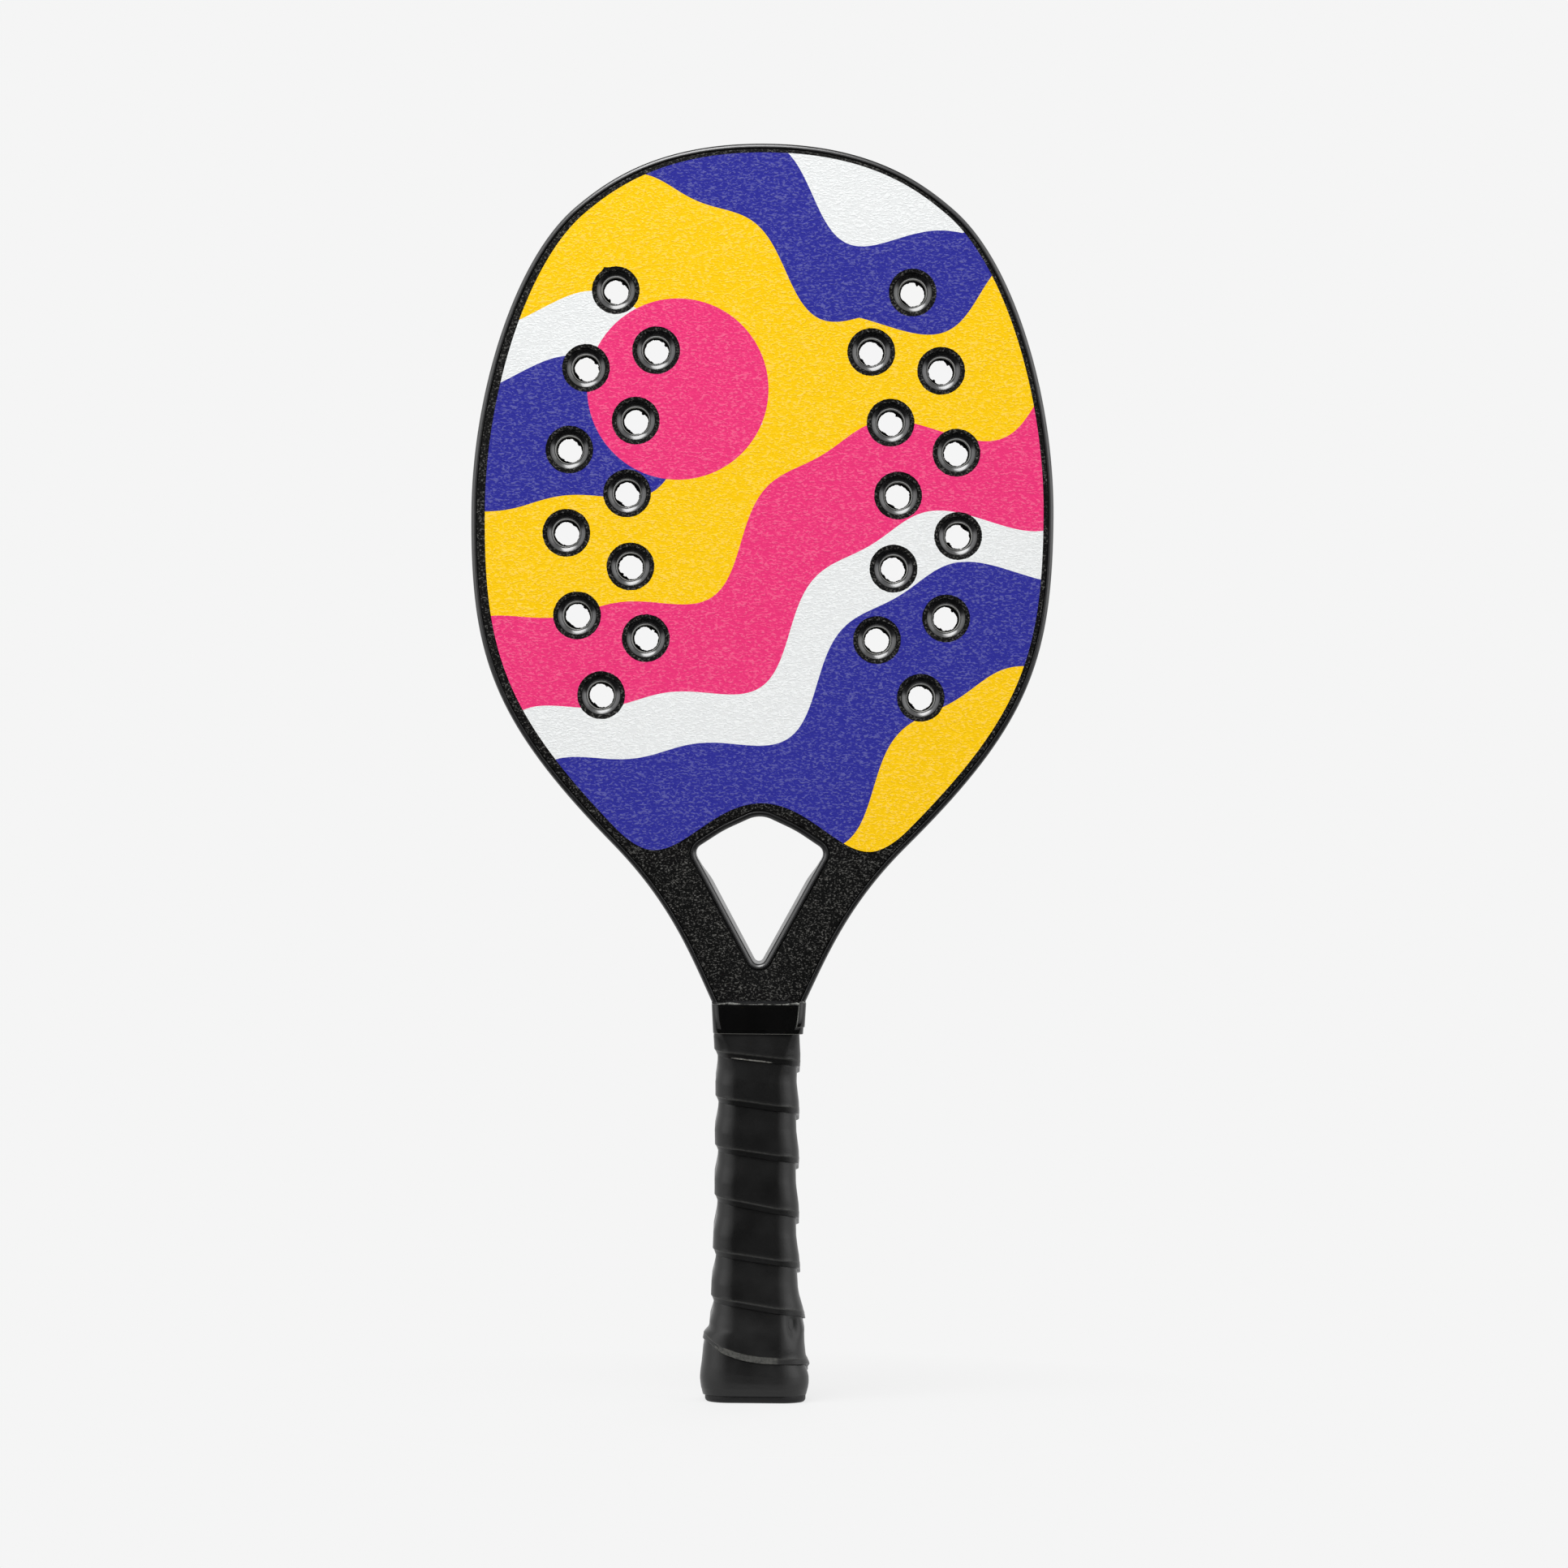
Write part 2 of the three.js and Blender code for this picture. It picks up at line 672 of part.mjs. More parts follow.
// Share of a turn at each station, measured along the handle's own surface
const turnShares = (() => {
  const bed = tapeBed(flareTopHeight);
  const places = ringStations.map((_, station) => ringPoint(station, bed, 0));
  const lengths = places.map((place, station) => place.distanceTo(places[(station + 1) % places.length]));
  const around = lengths.reduce((sum, length) => sum + length, 0);
  let travelled = 0;
  return lengths.map((length) => {
    const share = travelled / around;
    travelled += length;
    return share;
  });
})();

function turnsAt(station) {
  const count = ringStations.length;
  return Math.floor(station / count) + turnShares[station % count];
}

// Rings of points of a wound strip: each section point is an offset out of the bed and a height
// above the strip's lower edge
function stripRings(section, firstStation, stationCount, lowerEdgeAt, offsetAt) {
  const rings = [];
  for (let step = 0; step <= stationCount; step += 1) {
    const station = firstStation + step;
    const lowerEdge = lowerEdgeAt(turnsAt(station));
    const lift = offsetAt(turnsAt(station));
    rings.push(section.map(([offset, rise]) => {
      const height = lowerEdge + rise;
      const place = ringPoint(station, tapeBed(height), offset + lift);
      return new THREE.Vector3(place.x, place.y, height);
    }));
  }
  return rings;
}

function stripGeometry(rings) {
  const sides = rings[0].length;
  const indices = [];
  for (let ring = 0; ring + 1 < rings.length; ring += 1) {
    for (let side = 0; side < sides; side += 1) {
      const here = ring * sides + side;
      const beside = ring * sides + ((side + 1) % sides);
      indices.push(here, here + sides, beside, beside, here + sides, beside + sides);
    }
  }
  const last = (rings.length - 1) * sides;
  for (let side = 1; side + 1 < sides; side += 1) {
    indices.push(0, side, side + 1);
    indices.push(last, last + side + 1, last + side);
  }
  const geometry = new THREE.BufferGeometry();
  geometry.setFromPoints(rings.flat());
  geometry.setIndex(indices);
  return geometry;
}

// Least distance between points of a strip that lie at least half a turn apart along it
function leastGap(rings) {
  let least = Infinity;
  const half = ringStations.length / 2;
  rings.forEach((ring, index) => {
    rings.slice(index + half).forEach((otherRing) => {
      ring.forEach((place) => {
        otherRing.forEach((other) => {
          least = Math.min(least, place.distanceTo(other));
        });
      });
    });
  });
  return least;
}

function heightSlab(lowHeight, highHeight) {
  const box = new THREE.BoxGeometry(2 * headHalfWidth, 2 * headHalfWidth, highHeight - lowHeight);
  box.translate(0, 0, (highHeight + lowHeight) / 2);
  return solidOf(box);
}

// Grip tape: thick and skived at each turn's lower edge, thin where the next turn laps over it
function buildGripTape() {
  const [lowShare, highShare] = tapeInnerShares;
  const section = [
    [0, 0],
    [tapeEdgeThickness, 0],
    [tapeThickness, tapeSkive],
    [lerp(tapeThickness, tapeTopThickness, lowShare), tapeWidth - tapeTopTaper],
    [tapeTopThickness, tapeWidth],
    [0, tapeWidth],
    [0, tapeWidth * highShare],
    [0, tapeWidth * lowShare],
  ];
  const lowEnd = capFlangeHeight + clearance;
  const highEnd = gripTopHeight - tapeTopDrop;
  const frontEdge = gripTopHeight - tapeFrontEdgeDrop;
  const turnsAbove = Math.ceil((highEnd - frontEdge) / tapePitch);
  const firstEdge = frontEdge + turnsAbove * tapePitch;
  const turns = Math.ceil((firstEdge + tapeWidth - lowEnd) / tapePitch);
  const lowerEdgeAt = (turned) => firstEdge - turned * tapePitch;
  const stationCount = turns * ringStations.length;
  const rings = stripRings(section, 0, stationCount, lowerEdgeAt, () => 0);
  console.log(`grip tape: least gap between turns ${leastGap(rings).toFixed(2)} mm`);
  const strip = solidOf(stripGeometry(rings));
  addPart('grip_tape', geometryOf(strip.intersect(heightSlab(lowEnd, highEnd))), finishes.grip);
}

function buildFinishingTape() {
  const section = [[0, 0], [bandThickness, 0], [bandThickness, bandWidth], [0, bandWidth]];
  const firstTurns = turnsAt(bandStartStation);
  const turned = turnsAt(bandStartStation + bandStations) - firstTurns;
  const base = tapeThickness + clearance;
  const offsetAt = (turns) => base + bandRise * (turned - (turns - firstTurns));
  const rings = stripRings(section, bandStartStation, bandStations, () => bandLowHeight, offsetAt);
  console.log(`finishing tape: least gap at its overlap ${leastGap(rings).toFixed(2)} mm`);
  addPart('finishing_tape', stripGeometry(rings), finishes.band);
}

buildFrame();
buildSandwich();
buildHoleLiners();
buildPallets();
buildButtCap();
buildGripTape();
buildFinishingTape();

export default racket;
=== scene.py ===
"""A beach tennis racket dressed for a studio picture, built round its fixed frame.

Sizes are in millimetres, X across the face, Y from the front face to the back and Z up the
handle. They turn to metres where a mesh is written. The studio's own places are in metres.
"""

import logging
import math
from dataclasses import dataclass, field, replace
from enum import Enum
from typing import Any

import bpy
import numpy as np
from mathutils import Euler, Matrix, Vector
from mathutils.geometry import delaunay_2d_cdt


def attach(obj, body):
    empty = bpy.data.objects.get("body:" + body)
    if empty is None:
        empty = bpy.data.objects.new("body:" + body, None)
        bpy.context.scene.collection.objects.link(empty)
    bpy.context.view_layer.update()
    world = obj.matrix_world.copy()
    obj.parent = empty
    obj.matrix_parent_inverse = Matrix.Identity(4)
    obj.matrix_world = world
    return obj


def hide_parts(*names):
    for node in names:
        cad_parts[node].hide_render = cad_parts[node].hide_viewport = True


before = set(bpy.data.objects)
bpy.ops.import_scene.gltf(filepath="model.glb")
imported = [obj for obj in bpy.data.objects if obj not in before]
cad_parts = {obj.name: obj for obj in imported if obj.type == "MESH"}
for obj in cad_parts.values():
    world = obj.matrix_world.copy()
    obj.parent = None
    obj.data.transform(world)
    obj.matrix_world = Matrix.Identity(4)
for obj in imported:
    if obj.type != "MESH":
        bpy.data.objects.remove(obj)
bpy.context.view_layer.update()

log = logging.getLogger("racket")

MM = 0.001
BODY = "root"
# Most of a noise's values lie between these
NOISE_SPAN = (0.3, 0.7)
# Corners nearer than this are one corner, in millimetres
SAME_CORNER = 1e-7
# Points nearer than this to the centre line lie on it, in millimetres
CENTRE_LINE = 1e-6

Array = np.ndarray
Faces = list[tuple[int, ...]]
Point = tuple[float, float, float]
# Height, length and phase
Wave = tuple[float, float, float]
Material = bpy.types.Material
Node = bpy.types.Node
Piece = bpy.types.Object
Socket = bpy.types.NodeSocket
Tree = bpy.types.NodeTree


class Face(Enum):
    """A side of the racket, as the sign of its Y."""

    FRONT = -1
    BACK = 1


class Side(Enum):
    """A half of the head, as the sign of its X."""

    LEFT = -1
    RIGHT = 1


class Row(Enum):
    """A curved row of air holes, with the number of its holes on one side."""

    OUTER = 6
    INNER = 5


# Colour and node helpers


def linear(hex_colour: str) -> tuple[float, float, float, float]:
    """Turns an sRGB hex colour to linear light.

    Args:
        hex_colour: A hash sign and six hex digits.

    Returns:
        Red, green and blue, and an alpha of 1.
    """
    channels = np.array([int(hex_colour[i : i + 2], 16) for i in (1, 3, 5)]) / 255
    low, high = channels / 12.92, ((channels + 0.055) / 1.055) ** 2.4
    return (*np.where(channels <= 0.04045, low, high).tolist(), 1.0)


def add_node(tree: Tree, kind: str, inputs: dict | tuple = (), **settings: Any) -> Node:
    """Adds a node with its settings, and gives its inputs their values and links.

    Args:
        tree: The node tree.
        kind: The node's type without the words ShaderNode.
        inputs: What each input gets, by name or number or in order: a plain value, an output
            socket, or a node whose first output is meant.
        settings: The node's own attributes.

    Returns:
        The node.
    """
    node = tree.nodes.new(f"ShaderNode{kind}")
    for name, value in settings.items():
        setattr(node, name, value)
    for place, source in inputs.items() if isinstance(inputs, dict) else enumerate(inputs):
        if isinstance(source, Node):
            source = source.outputs[0]
        if isinstance(source, Socket):
            tree.links.new(source, node.inputs[place])
        else:
            node.inputs[place].default_value = source
    return node


def blank_material(name: str) -> tuple[Material, Tree]:
    """Makes a material with an empty node tree.

    Args:
        name: The material's name.

    Returns:
        The material and its tree.
    """
    material = bpy.data.materials.new(name)
    material.use_nodes = True
    material.node_tree.nodes.clear()
    return material, material.node_tree


def place_in_mm(tree: Tree, stretch: Point = (1, 1, 1)) -> Node:
    """Adds the object's own coordinates, counted in millimetres.

    Args:
        tree: The material's node tree.
        stretch: What each axis is multiplied by after that.

    Returns:
        The node that gives them.
    """
    place = add_node(tree, "TexCoord").outputs["Object"]
    return add_node(tree, "Mapping", {"Vector": place, "Scale": [share / MM for share in stretch]})


def add_waves(tree: Tree, along: Node, place: Node, waves: tuple[Wave, ...]) -> Node:
    """Adds sine waves to a place.

    Args:
        tree: The material's node tree.
        along: Node of the distance along the waves.
        place: Node of the place that they are added to.
        waves: Height, length and phase of each wave.

    Returns:
        The node of the waving place.
    """
    for height, length, phase in waves:
        turn = (along, math.tau / length, phase)
        angle = add_node(tree, "Math", turn, operation="MULTIPLY_ADD")
        wave = add_node(tree, "Math", (angle,), operation="SINE")
        place = add_node(tree, "Math", (wave, height, place), operation="MULTIPLY_ADD")
    return place


# Finishes


class Finish:
    """A finish whose nodes feed one principled shader."""

    name: str

    def surface(self, tree: Tree) -> dict[str, Any]:
        """Adds the finish's nodes.

        Args:
            tree: The material's node tree.

        Returns:
            What each of the shader's inputs gets.
        """
        raise NotImplementedError

    def make(self) -> Material:
        """Builds the material and returns it."""
        material, tree = blank_material(self.name)
        shader = add_node(tree, "BsdfPrincipled", self.surface(tree))
        add_node(tree, "OutputMaterial", {"Surface": shader})
        return material


@dataclass(frozen=True)
class SatinLacqueredComposite(Finish):
    """Carbon and glass laminate, moulded and lacquered: a satin black that the light rolls over."""

    name: str = "satin_lacquered_composite"
    black: str = "#121213"
    worn: str = "#1b1b1c"
    roughness: tuple[float, float] = (0.3, 0.38)
    refraction: float = 1.5
    gloss: float = 0.8
    lacquer: float = 0.3
    lacquer_roughness: float = 0.2
    mottle_mm: float = 9
    orange_peel_mm: float = 1.6
    orange_peel_depth_mm: float = 0.012

    def surface(self, tree: Tree) -> dict[str, Any]:
        """Adds the mottle and the orange peel.

        Args:
            tree: The material's node tree.

        Returns:
            What each of the shader's inputs gets.
        """
        place = place_in_mm(tree)
        blotches = {"Vector": place, "Scale": 1 / self.mottle_mm, "Detail": 3}
        mottle = add_node(tree, "TexNoise", blotches)
        peel = add_node(tree, "TexNoise", {"Vector": place, "Scale": 1 / self.orange_peel_mm})
        relief = {"Height": peel, "Distance": self.orange_peel_depth_mm * MM}
        shades = {0: mottle, 6: linear(self.black), 7: linear(self.worn)}
        return {
            "Base Color": add_node(tree, "Mix", shades, data_type="RGBA").outputs[2],
            "Roughness": add_node(tree, "MapRange", (mottle, *NOISE_SPAN, *self.roughness)),
            "Normal": add_node(tree, "Bump", relief),
            "IOR": self.refraction,
            "Specular IOR Level": self.gloss,
            "Coat Weight": self.lacquer,
            "Coat Roughness": self.lacquer_roughness,
        }


@dataclass(frozen=True)
class EmbossedGrain:
    """The wrinkles pressed into both face skins by the mould's peel cloth, mostly lying across.

    They are the upper levels of a stretched and swirled noise, so they lie close together and
    are about twice as long as high.
    """

    wrinkle_mm: float = 0.7
    flatten: Point = (0.5, 1, 1)
    swirl: float = 0.7
    levels: tuple[float, float] = (0.44, 0.68)
    depth_mm: float = 0.1

    def height(self, tree: Tree) -> Node:
        """Adds the wrinkles.

        Args:
            tree: The material's node tree.

        Returns:
            The node of their height, from 0 to 1.
        """
        place = place_in_mm(tree, self.flatten)
        shape = {"Scale": 1 / self.wrinkle_mm, "Detail": 1, "Distortion": self.swirl}
        noise = add_node(tree, "TexNoise", {"Vector": place, **shape})
        return add_node(tree, "MapRange", (noise, *self.levels, 0, 1))


@dataclass(frozen=True)
class WrinkleCoat(Finish):
    """Black epoxy coat cured over peel cloth: dull, its wrinkles glinting, partly by a painted
    highlight.
    """

    name: str = "wrinkle_coated_laminate"
    black: str = "#050505"
    # Painted highlight: the paler colour on the wrinkles' crests
    painted_glint: str = "#605f5c"
    painted_glint_start: float = 0.28
    polish_start: float = 0.3
    roughness: tuple[float, float] = (0.6, 0.3)
    refraction: float = 1.5
    gloss: float = 0.12
    wrinkles: EmbossedGrain = EmbossedGrain(
        wrinkle_mm=0.55, flatten=(0.65, 1, 1), swirl=0.5, levels=(0.47, 0.74), depth_mm=0.06
    )

    def surface(self, tree: Tree) -> dict[str, Any]:
        """Adds the wrinkles, and paints a paler highlight on their crests as glints.

        Args:
            tree: The material's node tree.

        Returns:
            What each of the shader's inputs gets.
        """
        height = self.wrinkles.height(tree)
        # The paler colour on the wrinkles' crests is a painted highlight, beside the bump's real glints
        painted_glint_share = add_node(tree, "MapRange", (height, self.painted_glint_start, 1, 0, 1))
        polish = (height, self.polish_start, 1, *self.roughness)
        relief = {"Height": height, "Distance": self.wrinkles.depth_mm * MM}
        shades = {0: painted_glint_share, 6: linear(self.black), 7: linear(self.painted_glint)}
        return {
            "Base Color": add_node(tree, "Mix", shades, data_type="RGBA").outputs[2],
            "Roughness": add_node(tree, "MapRange", polish),
            "Normal": add_node(tree, "Bump", relief),
            "IOR": self.refraction,
            "Specular IOR Level": self.gloss,
        }


@dataclass(frozen=True)
class WaveBands:
    """A family of wavy bands: where a point lies across them picks its colour.

    The place across is the point's distance along a tilted axis plus sine waves that run along
    the bands.
    """

    tilt: float
    waves: tuple[Wave, ...]
    start_mm: float
    length_mm: float
    bands: tuple[tuple[float, str], ...]

    def colour(self, tree: Tree, across: Node, up: Socket) -> Node:
        """Adds the bands' colour.

        Args:
            tree: The material's node tree.
            across: Node of X in millimetres.
            up: Output socket of Z in millimetres.

        Returns:
            The node of the colour.
        """
        place = add_node(tree, "Math", (across, self.tilt, up), operation="MULTIPLY_ADD")
        along = add_node(tree, "Math", (up, -self.tilt, across), operation="MULTIPLY_ADD")
        place = add_waves(tree, along, place, self.waves)
        span = (self.start_mm, self.start_mm + self.length_mm)
        share = add_node(tree, "MapRange", (place, *span, 0, 1))
        ramp = add_node(tree, "ValToRGB", (share,))
        ramp.color_ramp.interpolation = "CONSTANT"
        stops = ramp.color_ramp.elements
        for _ in self.bands[2:]:
            stops.new(1)
        for stop, (position, colour) in zip(stops, self.bands):
            stop.position = position
            stop.color = linear(colour)
        return ramp


YELLOW, PINK, INDIGO, WHITE = "#ffcc00", "#f0357a", "#2d2e97", "#eceeee"


@dataclass(frozen=True)
class PrintedFilm(Finish):
    """Screen-printed film pressed on with the face skin: flat bright inks with its soft wrinkles.

    Two families of wavy bands meet at a curve, and a disc lies over them.
    """

    name: str
    shift_mm: float
    upper: WaveBands
    lower: WaveBands
    divide_mm: float = 408
    divide_tilt: float = -0.42
    divide_wave: Wave = (24, 190, 2.2)
    disc_centre: tuple[float, float] = (-34, 402)
    disc_radius: float = 36
    disc_colour: str = PINK
    # Painted shade darkens the ink in the wrinkles' hollows, and a painted sheen pales it on their
    # crests
    painted_shading_top: float = 0.6
    painted_shading: tuple[float, float] = (0.93, 1.02)
    painted_sheen_start: float = 0.3
    painted_sheen: float = 0.1
    roughness: tuple[float, float] = (0.45, 0.32)
    refraction: float = 1.48
    gloss: float = 0.16
    wrinkles: EmbossedGrain = EmbossedGrain()

    def ink(self, tree: Tree) -> Socket:
        """Adds the print's colour.

        Args:
            tree: The material's node tree.

        Returns:
            The colour's output socket.
        """
        place = add_node(tree, "SeparateXYZ", (place_in_mm(tree),))
        across = add_node(tree, "Math", (place.outputs[0], self.shift_mm), operation="ADD")
        up = place.outputs[2]
        level = add_node(tree, "Math", (across, self.divide_tilt, up), operation="MULTIPLY_ADD")
        level = add_waves(tree, across, level, (self.divide_wave,))
        is_upper = add_node(tree, "Math", (level, self.divide_mm), operation="GREATER_THAN")
        lower, upper = (part.colour(tree, across, up) for part in (self.lower, self.upper))
        bands = {0: is_upper, 6: lower, 7: upper}
        waves = add_node(tree, "Mix", bands, data_type="RGBA").outputs[2]
        aside = add_node(tree, "Math", (across, self.disc_centre[0]), operation="SUBTRACT")
        above = add_node(tree, "Math", (up, self.disc_centre[1]), operation="SUBTRACT")
        square = add_node(tree, "Math", (aside, aside), operation="MULTIPLY")
        square = add_node(tree, "Math", (above, above, square), operation="MULTIPLY_ADD")
        is_disc = add_node(tree, "Math", (square, self.disc_radius**2), operation="LESS_THAN")
        inks = {0: is_disc, 6: waves, 7: linear(self.disc_colour)}
        return add_node(tree, "Mix", inks, data_type="RGBA").outputs[2]

    def surface(self, tree: Tree) -> dict[str, Any]:
        """Adds the inks, the wrinkles, painted shade in their hollows and a painted sheen on their
        crests.

        Args:
            tree: The material's node tree.

        Returns:
            What each of the shader's inputs gets.
        """
        height = self.wrinkles.height(tree)
        # Painted shade in the wrinkles' hollows and a painted sheen toward white on their crests
        painted_shade = add_node(tree, "MapRange", (height, 0, self.painted_shading_top, *self.painted_shading))
        shaded_ink = add_node(tree, "HueSaturation", {"Color": self.ink(tree), "Value": painted_shade})
        painted_glint_share = add_node(tree, "MapRange", (height, self.painted_sheen_start, 1, 0, self.painted_sheen))
        relief = {"Height": height, "Distance": self.wrinkles.depth_mm * MM}
        shades = {0: painted_glint_share, 6: shaded_ink, 7: linear(WHITE)}
        return {
            "Base Color": add_node(tree, "Mix", shades, data_type="RGBA").outputs[2],
            "Roughness": add_node(tree, "MapRange", (height, 0, 1, *self.roughness)),
            "Normal": add_node(tree, "Bump", relief),
            "IOR": self.refraction,
            "Specular IOR Level": self.gloss,
        }


@dataclass(frozen=True)
class MouldedAbs(Finish):
    """Injection-moulded black ABS: smooth and glossy, with a faint flow pattern.

    Its cut rim is painted paler as a painted highlight, and inside the bore it is torn and dull.
    """

    name: str = "moulded_abs"
    black: str = "#0b0b0c"
    scuffed: str = "#151516"
    # Painted highlight on the cut rim
    cut_edge: str = "#9c9c96"
    roughness: tuple[float, float] = (0.2, 0.28)
    refraction: float = 1.53
    gloss: float = 1
    bore_gloss: float = 0.05
    flow_mm: float = 2.5

    def surface(self, tree: Tree) -> dict[str, Any]:
        """Adds the flow pattern, the painted highlight on the cut rim and the bore.

        Args:
            tree: The material's node tree.

        Returns:
            What each of the shader's inputs gets.
        """
        cut = add_node(tree, "Attribute", attribute_name="cut").outputs["Fac"]
        bore = add_node(tree, "Attribute", attribute_name="bore").outputs["Fac"]
        streaks = {"Vector": place_in_mm(tree), "Scale": 1 / self.flow_mm, "Detail": 3}
        flow = add_node(tree, "TexNoise", streaks)
        blacks = {0: flow, 6: linear(self.black), 7: linear(self.scuffed)}
        moulded = add_node(tree, "Mix", blacks, data_type="RGBA").outputs[2]
        # The cut rim's paler colour is a painted highlight on its fine edge
        shades = {0: cut, 6: moulded, 7: linear(self.cut_edge)}
        rough = add_node(tree, "MapRange", (flow, *NOISE_SPAN, *self.roughness))
        shine = (bore, 0, 1, self.gloss, self.bore_gloss)
        return {
            "Base Color": add_node(tree, "Mix", shades, data_type="RGBA").outputs[2],
            "Roughness": add_node(tree, "Math", (rough, bore), operation="MAXIMUM"),
            "IOR": self.refraction,
            "Specular IOR Level": add_node(tree, "MapRange", shine),
        }


@dataclass(frozen=True)
class CutFoam(Finish):
    """Closed-cell foam sawn to size: matt, with open cells at the cut."""

    name: str
    shade: str
    cell: str
    cell_mm: float
    cell_depth_mm: float = 0.25
    roughness: float = 0.95
    refraction: float = 1.45

    def surface(self, tree: Tree) -> dict[str, Any]:
        """Adds the cells.

        Args:
            tree: The material's node tree.

        Returns:
            What each of the shader's inputs gets.
        """
        size = {"Vector": place_in_mm(tree), "Scale": 1 / self.cell_mm}
        cells = add_node(tree, "TexVoronoi", size)
        relief = {"Height": cells, "Distance": self.cell_depth_mm * MM}
        shades = {0: cells, 6: linear(self.cell), 7: linear(self.shade)}
        return {
            "Base Color": add_node(tree, "Mix", shades, data_type="RGBA").outputs[2],
            "Roughness": self.roughness,
            "Normal": add_node(tree, "Bump", relief),
            "IOR": self.refraction,
        }


@dataclass(frozen=True)
class PolyurethaneGripTape(Finish):
    """Coated polyurethane grip tape: dark, softly shining where hands have polished it.

    Marks on the mesh say where its skived edges show the paler backing, where the first edge is
    painted pale for wear and a painted glint, and where each ridge has a painted highlight.
    """

    name: str = "coated_polyurethane_tape"
    dark: str = "#0c0c0c"
    pale: str = "#151515"
    backing: str = "#50504c"
    # Wear and a painted glint along the first lap's edge
    worn: str = "#96958f"
    # Painted highlight along the ridge above each lap's edge
    ridge_highlight_colour: str = "#2c2c2a"
    patch_levels: tuple[float, float] = (0.15, 0.6)
    cloud_mm: float = 14
    pore_mm: float = 0.9
    pore_depth_mm: float = 0.03
    roughness: tuple[float, float] = (0.3, 0.42)
    refraction: float = 1.5
    gloss: float = 0.45

    def surface(self, tree: Tree) -> dict[str, Any]:
        """Adds the clouds, the pores, and the marks' shades, painted highlights among them.

        Args:
            tree: The material's node tree.

        Returns:
            What each of the shader's inputs gets.
        """
        place = place_in_mm(tree)
        clouds = {"Vector": place, "Scale": 1 / self.cloud_mm, "Detail": 4}
        cloud = add_node(tree, "TexNoise", clouds)
        grains = {"Vector": place, "Scale": 1 / self.pore_mm, "Detail": 3}
        pores = add_node(tree, "TexNoise", grains)
        shades = {0: cloud, 6: linear(self.dark), 7: linear(self.pale)}
        colour = add_node(tree, "Mix", shades, data_type="RGBA").outputs[2]
        # The ridge's shade is a painted highlight; the worn edge's is wear and a painted glint
        for name, shade in {"ridge": self.ridge_highlight_colour, "skive": self.backing, "wear": self.worn}.items():
            amount = add_node(tree, "Attribute", attribute_name=name).outputs["Fac"]
            patchy = add_node(tree, "Math", (amount, pores), operation="MULTIPLY")
            share = add_node(tree, "MapRange", (patchy, *self.patch_levels, 0, 1))
            shades = {0: share, 6: colour, 7: linear(shade)}
            colour = add_node(tree, "Mix", shades, data_type="RGBA").outputs[2]
        relief = {"Height": pores, "Distance": self.pore_depth_mm * MM}
        return {
            "Base Color": colour,
            "Roughness": add_node(tree, "MapRange", (cloud, *NOISE_SPAN, *self.roughness)),
            "Normal": add_node(tree, "Bump", relief),
            "IOR": self.refraction,
            "Specular IOR Level": self.gloss,
        }


@dataclass(frozen=True)
class GlossyVinyl(Finish):
    """Calendered vinyl tape, stretched on: a black mirror with slight ripples.

    A mark on the mesh says where it is painted paler: along its edges and at its free end.
    """

    name: str = "glossy_vinyl_tape"
    black: str = "#060606"
    dusty: str = "#0e0e0e"
    edge: str = "#6a6a66"
    ripple_mm: float = 9
    ripple_stretch: Point = (1, 1, 0.5)
    ripple_depth_mm: float = 0.01
    roughness: tuple[float, float] = (0.1, 0.16)
    refraction: float = 1.52
    gloss: float = 0.42

    def surface(self, tree: Tree) -> dict[str, Any]:
        """Adds the ripples and the paler colour along the marked edges.

        Args:
            tree: The material's node tree.

        Returns:
            What each of the shader's inputs gets.
        """
        place = place_in_mm(tree, self.ripple_stretch)
        ripple = add_node(tree, "TexNoise", {"Vector": place, "Scale": 1 / self.ripple_mm})
        blacks = {0: ripple, 6: linear(self.black), 7: linear(self.dusty)}
        rolled = add_node(tree, "Mix", blacks, data_type="RGBA").outputs[2]
        cut = add_node(tree, "Attribute", attribute_name="edge").outputs["Fac"]
        shades = {0: cut, 6: rolled, 7: linear(self.edge)}
        relief = {"Height": ripple, "Distance": self.ripple_depth_mm * MM}
        return {
            "Base Color": add_node(tree, "Mix", shades, data_type="RGBA").outputs[2],
            "Roughness": add_node(tree, "MapRange", (ripple, *NOISE_SPAN, *self.roughness)),
            "Normal": add_node(tree, "Bump", relief),
            "IOR": self.refraction,
            "Specular IOR Level": self.gloss,
        }


@dataclass(frozen=True)
class TornClearFilm(Finish):
    """Clear protective film torn off by hand: what is left has gone whitish where it stretched."""

    name: str = "torn_clear_film"
    clear: str = "#101010"
    stretched: str = "#a5a6a1"
    streak_mm: float = 1.4
    streak_levels: tuple[float, float] = (0.4, 0.62)
    streak_shares: tuple[float, float] = (0.1, 1)
    roughness: float = 0.3
    refraction: float = 1.49

    def surface(self, tree: Tree) -> dict[str, Any]:
        """Adds the whitish streaks.

        Args:
            tree: The material's node tree.

        Returns:
            What each of the shader's inputs gets.
        """
        streaks = {"Vector": place_in_mm(tree), "Scale": 1 / self.streak_mm, "Detail": 3}
        streak = add_node(tree, "TexNoise", streaks)
        whitish = add_node(tree, "MapRange", (streak, *self.streak_levels, *self.streak_shares))
        amount = add_node(tree, "Attribute", attribute_name="stretched").outputs["Fac"]
        share = add_node(tree, "Math", (whitish, amount), operation="MULTIPLY")
        shades = {0: share, 6: linear(self.clear), 7: linear(self.stretched)}
        return {
            "Base Color": add_node(tree, "Mix", shades, data_type="RGBA").outputs[2],
            "Roughness": self.roughness,
            "IOR": self.refraction,
        }


